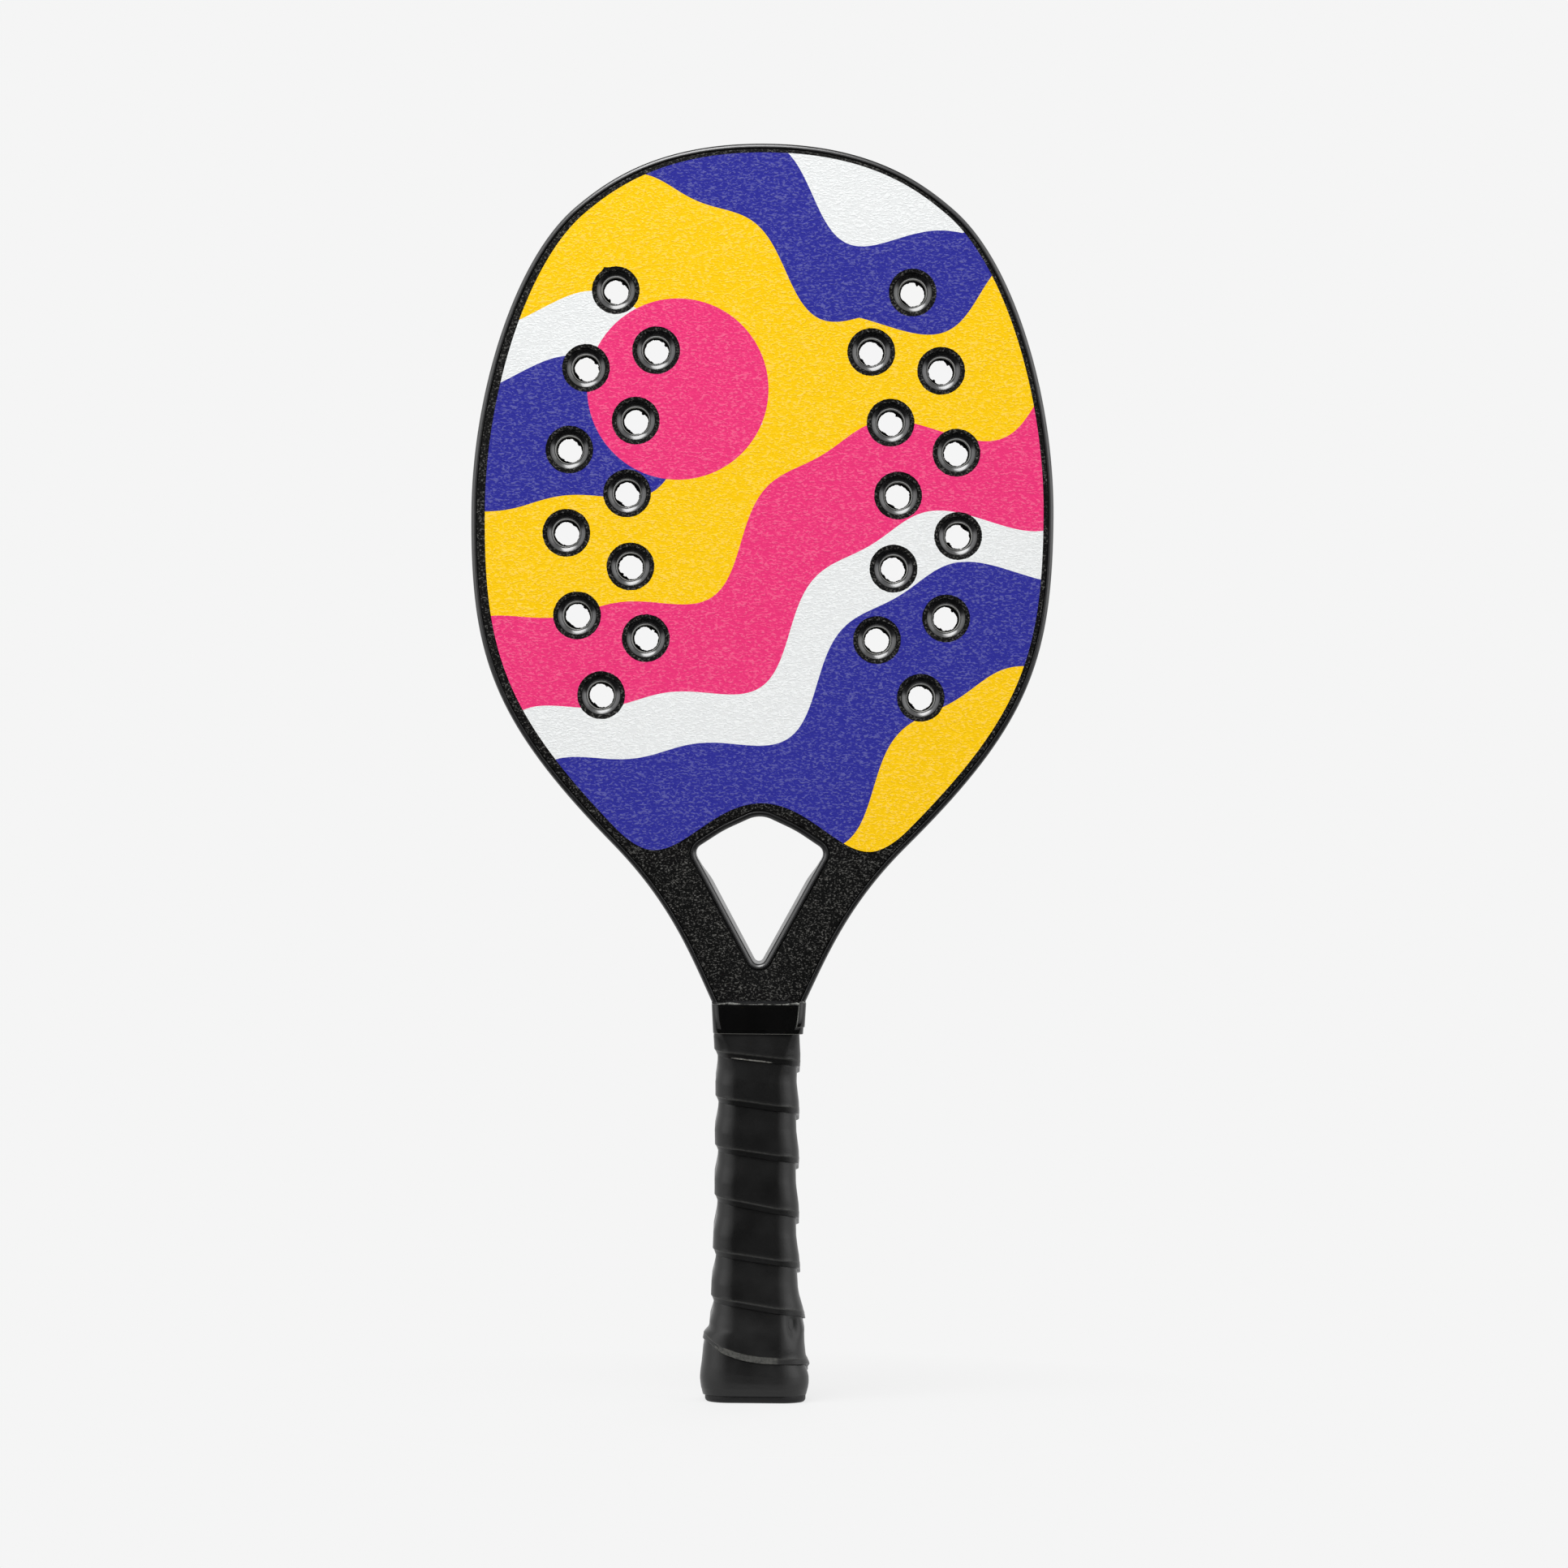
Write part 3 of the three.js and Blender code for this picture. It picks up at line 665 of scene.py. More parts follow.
@dataclass(frozen=True)
class MouldedPolypropylene(Finish):
    """Moulded polypropylene, spark-eroded in the tool: an even matt black."""

    name: str = "moulded_polypropylene"
    black: str = "#0a0a0b"
    pale: str = "#121213"
    spark_mm: float = 0.8
    spark_depth_mm: float = 0.03
    roughness: tuple[float, float] = (0.45, 0.58)
    refraction: float = 1.49
    gloss: float = 0.3

    def surface(self, tree: Tree) -> dict[str, Any]:
        """Adds the spark grain.

        Args:
            tree: The material's node tree.

        Returns:
            What each of the shader's inputs gets.
        """
        pits = {"Vector": place_in_mm(tree), "Scale": 1 / self.spark_mm, "Detail": 3}
        spark = add_node(tree, "TexNoise", pits)
        relief = {"Height": spark, "Distance": self.spark_depth_mm * MM}
        shades = {0: spark, 6: linear(self.black), 7: linear(self.pale)}
        return {
            "Base Color": add_node(tree, "Mix", shades, data_type="RGBA").outputs[2],
            "Roughness": add_node(tree, "MapRange", (spark, *NOISE_SPAN, *self.roughness)),
            "Normal": add_node(tree, "Bump", relief),
            "IOR": self.refraction,
            "Specular IOR Level": self.gloss,
        }


# Meshes


def signed_volume(points: Array, faces: Faces) -> float:
    """Adds up the volumes under a shell's faces, each cut into a fan of triangles.

    Args:
        points: Corners, one row each.
        faces: Corner numbers of each face.

    Returns:
        Six times the volume, positive where the faces point outwards.
    """
    fans = np.array([(f[0], f[i], f[i + 1]) for f in faces for i in range(1, len(f) - 1)])
    first, second, third = (points[fans[:, corner]] for corner in range(3))
    return float(np.einsum("ij,ij->", first, np.cross(second, third)))


@dataclass
class Shells:
    """Closed shells that make one piece, gathered before they are written to a mesh."""

    points: list[Array] = field(default_factory=list)
    faces: Faces = field(default_factory=list)
    count: int = 0

    def add(self, points: Array, faces: Faces) -> None:
        """Adds one closed shell, turned so that its faces point outwards.

        Args:
            points: Corners, one row each.
            faces: Corner numbers of each face.
        """
        if signed_volume(points, faces) < 0:
            faces = [face[::-1] for face in faces]
        self.faces += [tuple(corner + self.count for corner in face) for face in faces]
        self.points.append(points)
        self.count += len(points)

    def write(self, name: str, material: Material, sharp_degrees: float = 40) -> Piece:
        """Makes the object, in metres.

        Args:
            name: The piece's name.
            material: Its material.
            sharp_degrees: Edges that turn by more than this stay sharp.

        Returns:
            The object, riding on the racket's only body.
        """
        mesh = bpy.data.meshes.new(name)
        mesh.from_pydata((np.concatenate(self.points) * MM).tolist(), [], self.faces)
        mesh.validate()
        mesh.polygons.foreach_set("use_smooth", np.ones(len(mesh.polygons), bool))
        mesh.set_sharp_from_angle(angle=math.radians(sharp_degrees))
        mesh.materials.append(material)
        mesh.update()
        piece = bpy.data.objects.new(name, mesh)
        bpy.context.scene.collection.objects.link(piece)
        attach(piece, BODY)
        return piece


def mark(piece: Piece, name: str, amount: Array) -> None:
    """Writes a number for each of a piece's points, for its finish to read.

    Args:
        piece: The piece.
        name: The attribute's name.
        amount: The number at each point, in the points' order.
    """
    attribute = piece.data.attributes.new(name, "FLOAT", "POINT")
    attribute.data.foreach_set("value", amount.astype(np.float32).ravel())


def grid_faces(rows: int, columns: int, wrap_rows: bool, wrap_columns: bool) -> Faces:
    """Lists the quads of a grid of points that are numbered row by row.

    Args:
        rows: Number of rows.
        columns: Number of points in a row.
        wrap_rows: Whether the last row joins the first.
        wrap_columns: Whether each row closes on itself.

    Returns:
        The corner numbers of each quad.
    """
    row = np.arange(rows if wrap_rows else rows - 1)[:, None]
    column = np.arange(columns if wrap_columns else columns - 1)[None, :]
    next_row, next_column = (row + 1) % rows, (column + 1) % columns
    corners = [
        row * columns + column,
        row * columns + next_column,
        next_row * columns + next_column,
        next_row * columns + column,
    ]
    quads = np.stack([corner.ravel() for corner in corners], axis=1)
    return [tuple(quad) for quad in quads.tolist()]


def loft(rows: Array, closed_path: bool = False) -> tuple[Array, Faces]:
    """Joins a stack of closed rows of points into a closed shell.

    Args:
        rows: Points as rows by columns by three.
        closed_path: Whether the last row joins the first, instead of both being capped.

    Returns:
        The points and the faces.
    """
    count, columns = rows.shape[:2]
    faces = grid_faces(count, columns, closed_path, True)
    if not closed_path:
        faces.append(tuple(range(columns))[::-1])
        faces.append(tuple(range((count - 1) * columns, count * columns)))
    return rows.reshape(-1, 3), faces


def material_triangles(loops: list[Array]) -> Faces:
    """Triangulates the region inside the first closed loop and outside the others.

    A triangle is kept if a ray from its centre crosses the loops an odd number of times.

    Args:
        loops: Closed loops of points in the plane.

    Returns:
        The corner numbers of each triangle, counted through all the loops.
    """
    places = np.concatenate(loops)
    starts = np.cumsum([0, *[len(loop) for loop in loops[:-1]]])
    here = np.arange(len(places))
    after = np.concatenate([s + (np.arange(len(p)) + 1) % len(p) for s, p in zip(starts, loops)])
    edges = list(zip(here.tolist(), after.tolist()))
    corners = [Vector(place) for place in places.tolist()]
    made = delaunay_2d_cdt(corners, edges, [], 0, SAME_CORNER)
    source = np.array([origin[0] for origin in made[3]])
    triangles = source[np.array(made[2])]
    centre = places[triangles].mean(axis=1)
    low, high = places[here], places[after]
    rise = high[:, 1] - low[:, 1]
    spans = (low[:, 1] > centre[:, 1:2]) != (high[:, 1] > centre[:, 1:2])
    share = (centre[:, 1:2] - low[:, 1]) / np.where(rise == 0, 1, rise)
    crossing = low[:, 0] + share * (high[:, 0] - low[:, 0])
    inside = (spans & (crossing > centre[:, 0:1])).sum(axis=1) % 2 == 1
    return [tuple(triangle) for triangle in triangles[inside].tolist()]


def plate(stacks: list[Array]) -> tuple[Array, Faces]:
    """Makes a closed plate from the walls round its edge and round each of its holes.

    Each wall is a stack of closed rows from one face of the plate to the other. The plate's
    two faces are the triangulated regions between the walls' end rows.

    Args:
        stacks: Walls as rows by columns by three, the outer one first.

    Returns:
        The points and the faces.
    """
    triangles = material_triangles([stack[0][:, (0, 2)] for stack in stacks])
    starts = np.cumsum([0, *[stack.shape[0] * stack.shape[1] for stack in stacks[:-1]]])
    first = np.concatenate([s + np.arange(p.shape[1]) for s, p in zip(starts, stacks)])
    last = np.concatenate(
        [s + (p.shape[0] - 1) * p.shape[1] + np.arange(p.shape[1]) for s, p in zip(starts, stacks)]
    )
    faces: Faces = []
    for hole, (start, stack) in enumerate(zip(starts.tolist(), stacks)):
        walls = np.array(grid_faces(stack.shape[0], stack.shape[1], False, True)) + start
        loop = stack[0][:, (0, 2)]
        ahead = np.roll(loop, -1, axis=0)
        turning = float(np.sum(loop[:, 0] * ahead[:, 1] - ahead[:, 0] * loop[:, 1]))
        keep = (turning > 0) == (hole == 0)
        faces += [tuple(wall) for wall in (walls if keep else walls[:, ::-1]).tolist()]
    corner = np.array(triangles)
    points = np.concatenate([stack.reshape(-1, 3) for stack in stacks])
    flat = np.concatenate([stack[0][:, (0, 2)] for stack in stacks])[corner]
    sides = flat[:, 1:] - flat[:, :1]
    anticlockwise = sides[:, 0, 0] * sides[:, 1, 1] > sides[:, 0, 1] * sides[:, 1, 0]
    corner = np.where(anticlockwise[:, None], corner, corner[:, ::-1])
    faces += [tuple(face) for face in first[corner][:, ::-1].tolist()]
    faces += [tuple(face) for face in last[corner].tolist()]
    return points, faces


def upright(places: Array, level: Array | float) -> Array:
    """Stands points of the face's plane up at a level of Y.

    Args:
        places: X and Z, in the last axis.
        level: Y, as one number or one for each point.

    Returns:
        X, Y and Z in the last axis.
    """
    levels = np.broadcast_to(level, places.shape[:-1])
    return np.stack([places[..., 0], levels, places[..., 1]], axis=-1)


def smooth(value: Array | float) -> Array:
    """Eases from 0 to 1: three times the square less twice the cube, clamped."""
    share = np.clip(value, 0, 1)
    return share * share * (3 - 2 * share)


# Outlines in the plane of the face


@dataclass(frozen=True)
class FloorEdge:
    """Lower edge of a plate in the head: an arch over the throat window and two lobes."""

    crown: float
    lobe: tuple[float, float]
    join: float
    lobe_share: float = 0.3
    crown_share: float = 0.42


@dataclass(frozen=True)
class Outline:
    """The racket's silhouette, of four curves a side that meet at joints.

    Each curve is a cubic Bezier from one joint to the next. Its two handles lie along the
    joints' headings, in degrees outwards from straight down, at shares of its chord.
    """

    joints: tuple[tuple[float, float, float], ...] = (
        (0, 500, 90),
        (75.2, 474.3, 49.6),
        (115.8, 352.6, 0),
        (58.5, 221, -44.8),
        (19.3, 160.2, -24.6),
    )
    handle_shares: tuple[tuple[float, float], ...] = (
        (0.533, 0.205),
        (0.252, 0.36),
        (0.399, 0.478),
        (0.429, 0.294),
    )
    steps: int = 36
    floor_steps: int = 24
    neck_overlap: float = 1.7
    shaft: tuple[tuple[float, float], ...] = ((15.7, 160.2), (14, 128), (14, 85), (15.4, 36))
    shaft_bottom: float = 3.9
    tail_half_width: float = 12
    tail_bottom: float = 152
    tail_inset: float = 2

    def side(self, inset: float, crown_inset: float | None = None) -> Array:
        """Works out the right half from the crown to the neck, moved in along its normal.

        Args:
            inset: Distance inwards.
            crown_inset: Distance inwards where the outline runs level, if it differs.

        Returns:
            X and Z of each point.
        """
        share = np.linspace(0, 1, self.steps + 1)[:, None]
        rest = 1 - share
        places, tangents = [], []
        for start, end, (leave, arrive) in zip(self.joints, self.joints[1:], self.handle_shares):
            first, last = np.array(start[:2], float), np.array(end[:2], float)
            chord = np.linalg.norm(last - first)
            headings = np.radians([start[2], end[2]])
            ways = np.stack([np.sin(headings), -np.cos(headings)], axis=1)
            second, third = first + leave * chord * ways[0], last - arrive * chord * ways[1]
            curve = rest**3 * first + 3 * rest**2 * share * second
            curve = curve + 3 * rest * share**2 * third + share**3 * last
            slope = rest**2 * (second - first) + 2 * rest * share * (third - second)
            slope = slope + share**2 * (last - third)
            skip = 1 if places else 0
            places.append(curve[skip:])
            tangents.append((slope / np.linalg.norm(slope, axis=1)[:, None])[skip:])
        place, tangent = np.concatenate(places), np.concatenate(tangents)
        crown = inset if crown_inset is None else crown_inset
        local = inset + (crown - inset) * np.maximum(0, tangent[:, 0])
        moved = place + local[:, None] * np.stack([tangent[:, 1], -tangent[:, 0]], axis=1)
        moved[0, 0] = 0
        return moved

    @staticmethod
    def mirrored(half: Array) -> Array:
        """Closes a right half with its mirror image; a point on the centre line is kept once."""
        left = half[half[:, 0] > CENTRE_LINE][::-1] * (-1, 1)
        return np.concatenate([half, left])

    def tuck(self, half: Array) -> Array:
        """Works out where a right half, run on along its last slope, hides under the grip.

        Args:
            half: X and Z of each point of the right half.

        Returns:
            X and Z of the one point there.
        """
        slope = half[-1] - half[-2]
        height = self.joints[-1][1] - self.neck_overlap
        return half[-1] + slope * (height - half[-1, 1]) / slope[1]

    def frame(self, inset: float) -> Array:
        """Works out the whole frame: the head, the neck tucked under the grip, and the shaft.

        Args:
            inset: Distance inwards.

        Returns:
            X and Z of each point, as a closed loop.
        """
        half = self.side(inset)
        tuck = self.tuck(half)
        shaft = np.array(self.shaft) - (inset, 0)
        shaft[0, 1] = tuck[1]
        foot = (shaft[-1, 0], self.shaft_bottom + inset)
        return self.mirrored(np.concatenate([half, [tuck], shaft, [foot]]))

    def skin(self, inset: float) -> Array:
        """Works out the face skin: the head and the throat, with a tail under the grip.

        Args:
            inset: Distance inwards.

        Returns:
            X and Z of each point, as a closed loop.
        """
        half = self.side(inset)
        tuck = self.tuck(half)
        tail = self.tail_half_width + self.tail_inset - inset
        foot = self.tail_bottom + inset - self.tail_inset
        corners = [tuck, (tail, tuck[1]), (tail, foot)]
        return self.mirrored(np.concatenate([half, corners]))

    def head(self, floor: FloorEdge, inset: float, crown_inset: float | None = None) -> Array:
        """Works out a plate in the head, down to its arch and lobes.

        Args:
            floor: Its lower edge.
            inset: Distance inwards at the sides.
            crown_inset: Distance inwards at the crown, if it differs.

        Returns:
            X and Z of each point, as a closed loop.
        """
        side = self.side(inset, crown_inset)
        side = side[side[:, 1] > floor.join]
        last, lobe = side[-1], np.array(floor.lobe)
        slope = last - side[-2]
        corner = last + slope * (lobe[1] - last[1]) / slope[1]
        share = np.linspace(0, 1, self.floor_steps + 1)[1:, None]
        turn = (1 - share) ** 2 * last + 2 * (1 - share) * share * corner + share**2 * lobe
        second = lobe * (1 - floor.lobe_share, 1)
        third = np.array((lobe[0] * floor.crown_share, floor.crown))
        crown = np.array((0, floor.crown))
        arch = (1 - share) ** 3 * lobe + 3 * (1 - share) ** 2 * share * second
        arch = arch + 3 * (1 - share) * share**2 * third + share**3 * crown
        half = np.concatenate([side, turn, arch])
        half[-1, 0] = 0
        left = half[1:-1][::-1] * (-1, 1)
        return np.concatenate([half, left])


@dataclass(frozen=True)
class Window:
    """The throat window: straight runs between rounded corners, clockwise from its crown."""

    corners: tuple[tuple[float, float, float], ...] = (
        (0, 233.5, 11),
        (14.3, 226.9, 50),
        (26.3, 219, 3.6),
        (0, 170.6, 3),
        (-26.3, 219, 3.6),
        (-14.3, 226.9, 50),
    )
    corner_steps: int = 12
    run_steps: int = 24

    def path(self) -> tuple[Array, Array]:
        """Works out points round the window.

        A corner's arc has its centre on the line that halves the corner, and a run between
        two arcs is straight.

        Returns:
            Places, and the unit normals that point into the material.
        """
        places, normals = [], []
        corner = np.array(self.corners)
        for index, (x, z, radius) in enumerate(self.corners):
            place = np.array((x, z))
            back = corner[index - 1, :2] - place
            ahead = corner[(index + 1) % len(corner), :2] - place
            back, ahead = back / np.linalg.norm(back), ahead / np.linalg.norm(ahead)
            half_angle = math.acos(float(back @ ahead)) / 2
            middle = (back + ahead) / np.linalg.norm(back + ahead)
            centre = place + middle * radius / math.sin(half_angle)
            reach = radius / math.tan(half_angle)
            start = (place + back * reach - centre) / radius
            end = (place + ahead * reach - centre) / radius
            first, last = (math.atan2(way[1], way[0]) for way in (start, end))
            turn = (last - first + math.pi) % math.tau - math.pi
            angles = first + turn * np.linspace(0, 1, self.corner_steps + 1)
            ways = np.stack([np.cos(angles), np.sin(angles)], axis=1)
            places.append(centre + radius * ways)
            normals.append(ways)
        share = np.linspace(0, 1, self.run_steps + 2)[1:-1, None]
        full_places, full_normals = [], []
        for index, (arc, ways) in enumerate(zip(places, normals)):
            next_arc = places[(index + 1) % len(places)]
            full_places += [arc, arc[-1] + share * (next_arc[0] - arc[-1])]
            full_normals += [ways, np.repeat(ways[-1:], len(share), axis=0)]
        return np.concatenate(full_places), np.concatenate(full_normals)

    def loop(self, grow: float) -> Array:
        """Moves the window's edge out into the material and returns its closed loop."""
        places, normals = self.path()
        return places + grow * normals


@dataclass(frozen=True)
class AirHole:
    """One air hole, with the name of the liner in it."""

    node: str
    x: float
    z: float


@dataclass(frozen=True)
class HoleField:
    """The air holes, on two arcs a side about one centre."""

    arc_radius: float = 201
    row_spacing: float = 24.2
    arc_reach: float = 122.9
    arc_height: float = 355.5
    middle_degrees: float = 1.6
    step_degrees: float = 9.44

    def holes(self) -> list[AirHole]:
        """Lists the holes, left side first, each row from the top down."""
        found = []
        for side in Side:
            for row in Row:
                radius = self.arc_radius - (self.row_spacing if row is Row.INNER else 0)
                for number in range(row.value):
                    steps = (row.value - 1) / 2 - number
                    angle = math.radians(self.middle_degrees + steps * self.step_degrees)
                    x = side.value * (radius * math.cos(angle) - self.arc_reach)
                    z = self.arc_height + radius * math.sin(angle)
                    node = f"hole_liner_{side.name.lower()}_{row.name.lower()}_{number + 1}"
                    found.append(AirHole(node, x, z))
        return found


def circle(hole: AirHole, radius: Array | float, steps: int) -> Array:
    """Works out the points round an air hole.

    Args:
        hole: The hole.
        radius: Its radius, as one number or one for each point.
        steps: Number of points.

    Returns:
        X and Z of each point, as a closed loop.
    """
    angle = np.linspace(0, math.tau, steps, endpoint=False)
    ways = np.stack([np.cos(angle), np.sin(angle)], axis=1)
    return (hole.x, hole.z) + np.broadcast_to(radius, (steps,))[:, None] * ways


# Sub-assemblies


@dataclass
class MouldedFrame:
    """The hoop, the throat arms and the shaft in one moulding, and the bridge bonded into it."""

    outline: Outline
    window: Window
    finish: Material
    bead_inset: float = 1.75
    bead_level: float = 10.87
    dome_degrees: float = 70
    edge_radius: float = 0.3
    side_crown: float = 0.1
    window_crown: float = 1.05
    window_start: float = -1.05
    window_widen: float = 0.15
    arch_crown: float = 0.1
    crown_fade: float = 9
    groove_inset: float = 2
    groove_level: float = 9.8
    web_inset: float = 2.6
    bead_steps: int = 8
    edge_steps: int = 3
    side_steps: int = 6
    window_width: float = 6
    window_overlap: float = 0.1
    pocket: FloorEdge = FloorEdge(241, (41, 226.5), 236)
    pocket_inset: float = 9
    seam_height: float = 215.2
    seam_depth: float = 0.12
    seam_share: float = 0.01

    def rim(self, start: Array, crown: Array, widen: float = 0) -> tuple[Array, Array]:
        """Works out the rim's section from the front groove round the side to the back one.

        The side drafts in evenly from the parting line. A small arc turns it into the dome,
        which is an arc of a larger circle, and a quarter ellipse falls from its top into the
        groove beside the skin.

        Args:
            start: Distance in from the edge to the parting line, in a column.
            crown: How far the parting line stands out of the side's edges, in a column.
            widen: How much wider the dome is than on the racket's outer edge.

        Returns:
            Distances in from the edge and levels of Y, a row for each start.
        """
        top, groove, web = np.array([self.bead_inset, self.groove_inset, self.web_inset]) + widen
        steep = math.radians(self.dome_degrees)
        turn_in = np.linspace(math.pi / 2, steep, self.edge_steps, endpoint=False)
        tilt = np.concatenate([turn_in, np.linspace(steep, 0, self.bead_steps + 1)])
        on_dome = np.minimum(tilt, steep)
        width = top - start - crown
        radius = (width - self.edge_radius * (1 - math.sin(steep))) / math.sin(steep)
        reach = radius * np.sin(on_dome) + self.edge_radius * (np.sin(tilt) - np.sin(on_dome))
        drop = radius * (1 - np.cos(on_dome)) + self.edge_radius * (np.cos(on_dome) - np.cos(tilt))
        share = np.linspace(0, 1, self.side_steps, endpoint=False)
        side = start + crown * share
        side_level = (self.bead_level - drop[:, :1]) * share
        fall = np.linspace(0, math.pi / 2, self.bead_steps + 1)[1:]
        inner = np.append(top + (groove - top) * np.sin(fall), web)
        inner_level = self.bead_level - (self.bead_level - self.groove_level) * (1 - np.cos(fall))
        inner_level = np.append(inner_level, self.groove_level)
        inner = np.broadcast_to(inner, (len(start), len(inner)))
        inner_level = np.broadcast_to(inner_level, inner.shape)
        inset = np.concatenate([side, top - reach, inner], axis=1)
        level = np.concatenate([side_level, self.bead_level - drop, inner_level], axis=1)
        insets = np.concatenate([inset[:, ::-1], inset[:, 1:]], axis=1)
        return insets, np.concatenate([-level[:, ::-1], level[:, 1:]], axis=1)

    def window_rim(self, places: Array, normals: Array, bulge: Array) -> tuple[Array, Faces]:
        """Carries the rim's section along a stretch of the window's edge.

        Args:
            places: Points of the stretch.
            normals: Unit normals into the material.
            bulge: Share of the side's full crown at each point.

        Returns:
            The points and the faces of a closed bar.
        """
        crown = self.arch_crown + (self.window_crown - self.arch_crown) * bulge[:, None]
        insets, levels = self.rim(self.window_start * bulge[:, None], crown, self.window_widen)
        insets = np.pad(insets, ((0, 0), (1, 1)), constant_values=self.window_width)
        levels = np.pad(levels, ((0, 0), (1, 1)), mode="edge")
        rows = places[:, None, :] + insets[:, :, None] * normals[:, None, :]
        rows = upright(rows, levels)
        ends = rows[[0, -1]]
        inwards = ends.mean(axis=1, keepdims=True) - ends
        shrunk = ends + inwards * self.seam_depth / np.linalg.norm(inwards, axis=2, keepdims=True)
        rows[0] += (rows[1] - rows[0]) * self.seam_share
        rows[-1] += (rows[-2] - rows[-1]) * self.seam_share
        return loft(np.concatenate([shrunk[:1], rows, shrunk[1:]]))

    def build(self) -> list[Piece]:
        """Builds the frame and the bridge and returns them."""
        insets, levels = self.rim(np.zeros((1, 1)), np.array([[self.side_crown]]))
        rows = np.stack([upright(self.outline.frame(i), y) for i, y in zip(insets[0], levels[0])])
        ends = (-self.groove_level, self.groove_level)
        pocket = self.outline.head(self.pocket, self.pocket_inset)
        pocket_wall = np.stack([upright(pocket, y) for y in ends])
        opening = self.window.loop(self.window_width - self.window_overlap)
        opening_wall = np.stack([upright(opening, y) for y in ends])
        frame_shells, bridge_shells = Shells(), Shells()
        frame_shells.add(*plate([rows, pocket_wall, opening_wall]))
        places, normals = self.window.path()
        low = places[:, 1] < self.seam_height
        start = int(np.argmax(low))
        order = np.roll(np.arange(len(places)), -start)
        low_run, high_run = order[low[order]], order[~low[order]]
        tip = self.cut(places, low_run, self.seam_height)
        arch = self.cut(places, high_run, self.seam_height)
        bulge = smooth((self.seam_height - tip[:, 1]) / self.crown_fade)
        frame_shells.add(*self.window_rim(tip, normals[low_run], bulge))
        bridge_shells.add(*self.window_rim(arch, normals[high_run], np.zeros(len(arch))))
        hoop = frame_shells.write("moulded_hoop_frame", self.finish)
        bridge = bridge_shells.write("moulded_throat_bridge", self.finish)
        for piece, node in ((hoop, "hoop_frame"), (bridge, "throat_bridge")):
            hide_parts(node)
        return [hoop, bridge]

    @staticmethod
    def cut(places: Array, run: Array, height: float) -> Array:
        """Slides a run's two end points along their sides to the seam.

        Args:
            places: Points round the window.
            run: Numbers of the points of the run.
            height: Height of the seam.

        Returns:
            The run's points.
        """
        moved = places[run].copy()
        for end, inner in ((0, 1), (-1, -2)):
            slope = moved[end] - moved[inner]
            moved[end] += slope * (height - moved[end, 1]) / slope[1]
        return moved


@dataclass
class FaceSkin:
    """A textured laminate over one face, cut out for the window and the air holes."""

    face: Face
    outline: Outline
    window: Window
    holes: list[AirHole]
    finish: Material
    inset: float = 2.35
    window_inset: float = 2.75
    inner_level: float = 9.85
    outer_level: float = 10.85
    edge_radius: float = 0.3
    edge_steps: int = 4
    hole_radius: float = 7.75
    hole_steps: int = 72

    def edge(self) -> tuple[Array, Array]:
        """Works out the edge's section: a quarter circle and a straight wall.

        Returns:
            Distances into the material, and levels from the middle plane.
        """
        turn = np.linspace(0, math.pi / 2, self.edge_steps + 1)
        inset = self.edge_radius * (1 - np.sin(turn))
        level = self.outer_level - self.edge_radius * (1 - np.cos(turn))
        return np.append(inset, 0), np.append(level, self.inner_level)

    def build(self) -> Piece:
        """Builds the skin and returns it."""
        insets, levels = self.edge()
        levels = levels * self.face.value
        cuts = list(zip(insets, levels))
        stacks = [np.stack([upright(self.outline.skin(self.inset + i), y) for i, y in cuts])]
        loops = [self.window.loop(self.window_inset + i) for i in insets]
        stacks.append(np.stack([upright(loop, y) for loop, y in zip(loops, levels)]))
        for hole in self.holes:
            rings = [circle(hole, self.hole_radius + i, self.hole_steps) for i, _ in cuts]
            stacks.append(upright(np.stack(rings), levels[:, None]))
        shells = Shells()
        shells.add(*plate(stacks))
        name = self.face.name.lower()
        skin = shells.write(f"textured_{name}_skin", self.finish)
        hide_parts(f"{name}_face_laminate")
        return skin


@dataclass
class PrintedFace:
    """The printed film on one face, cut out in a ring round every air hole."""

    face: Face
    outline: Outline
    holes: list[AirHole]
    finish: Material
    shift: float = 0
    floor: FloorEdge = FloorEdge(237.8, (42.7, 218.8), 226)
    side_inset: float = 4.85
    crown_inset: float = 3.7
    inner_level: float = 10.87
    outer_level: float = 11
    ring_radius: float = 9.5
    ring_steps: int = 110
    ragged: float = 0.08
    nick_hole: str = "hole_liner_left_outer_1"
    nick_degrees: float = 117
    nick_width: float = 5
    nick_depth: float = 0.8
    seed: int = 11

    def ring(self, hole: AirHole, random: np.random.Generator) -> Array:
        """Works out the film's edge round a hole, ragged where the cutter met the wrinkles.

        Args:
            hole: The hole.
            random: Source of the raggedness.

        Returns:
            The closed loop.
        """
        radius = self.ring_radius + self.ragged * random.uniform(-1, 1, self.ring_steps)
        if hole.node == self.nick_hole:
            degrees = np.linspace(0, 360, self.ring_steps, endpoint=False)
            off = (degrees - self.nick_degrees) / self.nick_width
            radius = radius + self.nick_depth * np.exp(-(off**2))
        return circle(hole, radius, self.ring_steps)

    def build(self) -> Piece:
        """Builds the film and returns it."""
        random = np.random.default_rng(self.seed)
        levels = (self.outer_level * self.face.value, self.inner_level * self.face.value)
        edge = self.outline.head(self.floor, self.side_inset, self.crown_inset) + (self.shift, 0)
        loops = [edge, *[self.ring(hole, random) for hole in self.holes]]
        shells = Shells()
        shells.add(*plate([np.stack([upright(loop, y) for y in levels]) for loop in loops]))
        name = self.face.name.lower()
        film = shells.write(f"{name}_print", self.finish)
        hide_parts(f"{name}_printed_film")
        return film


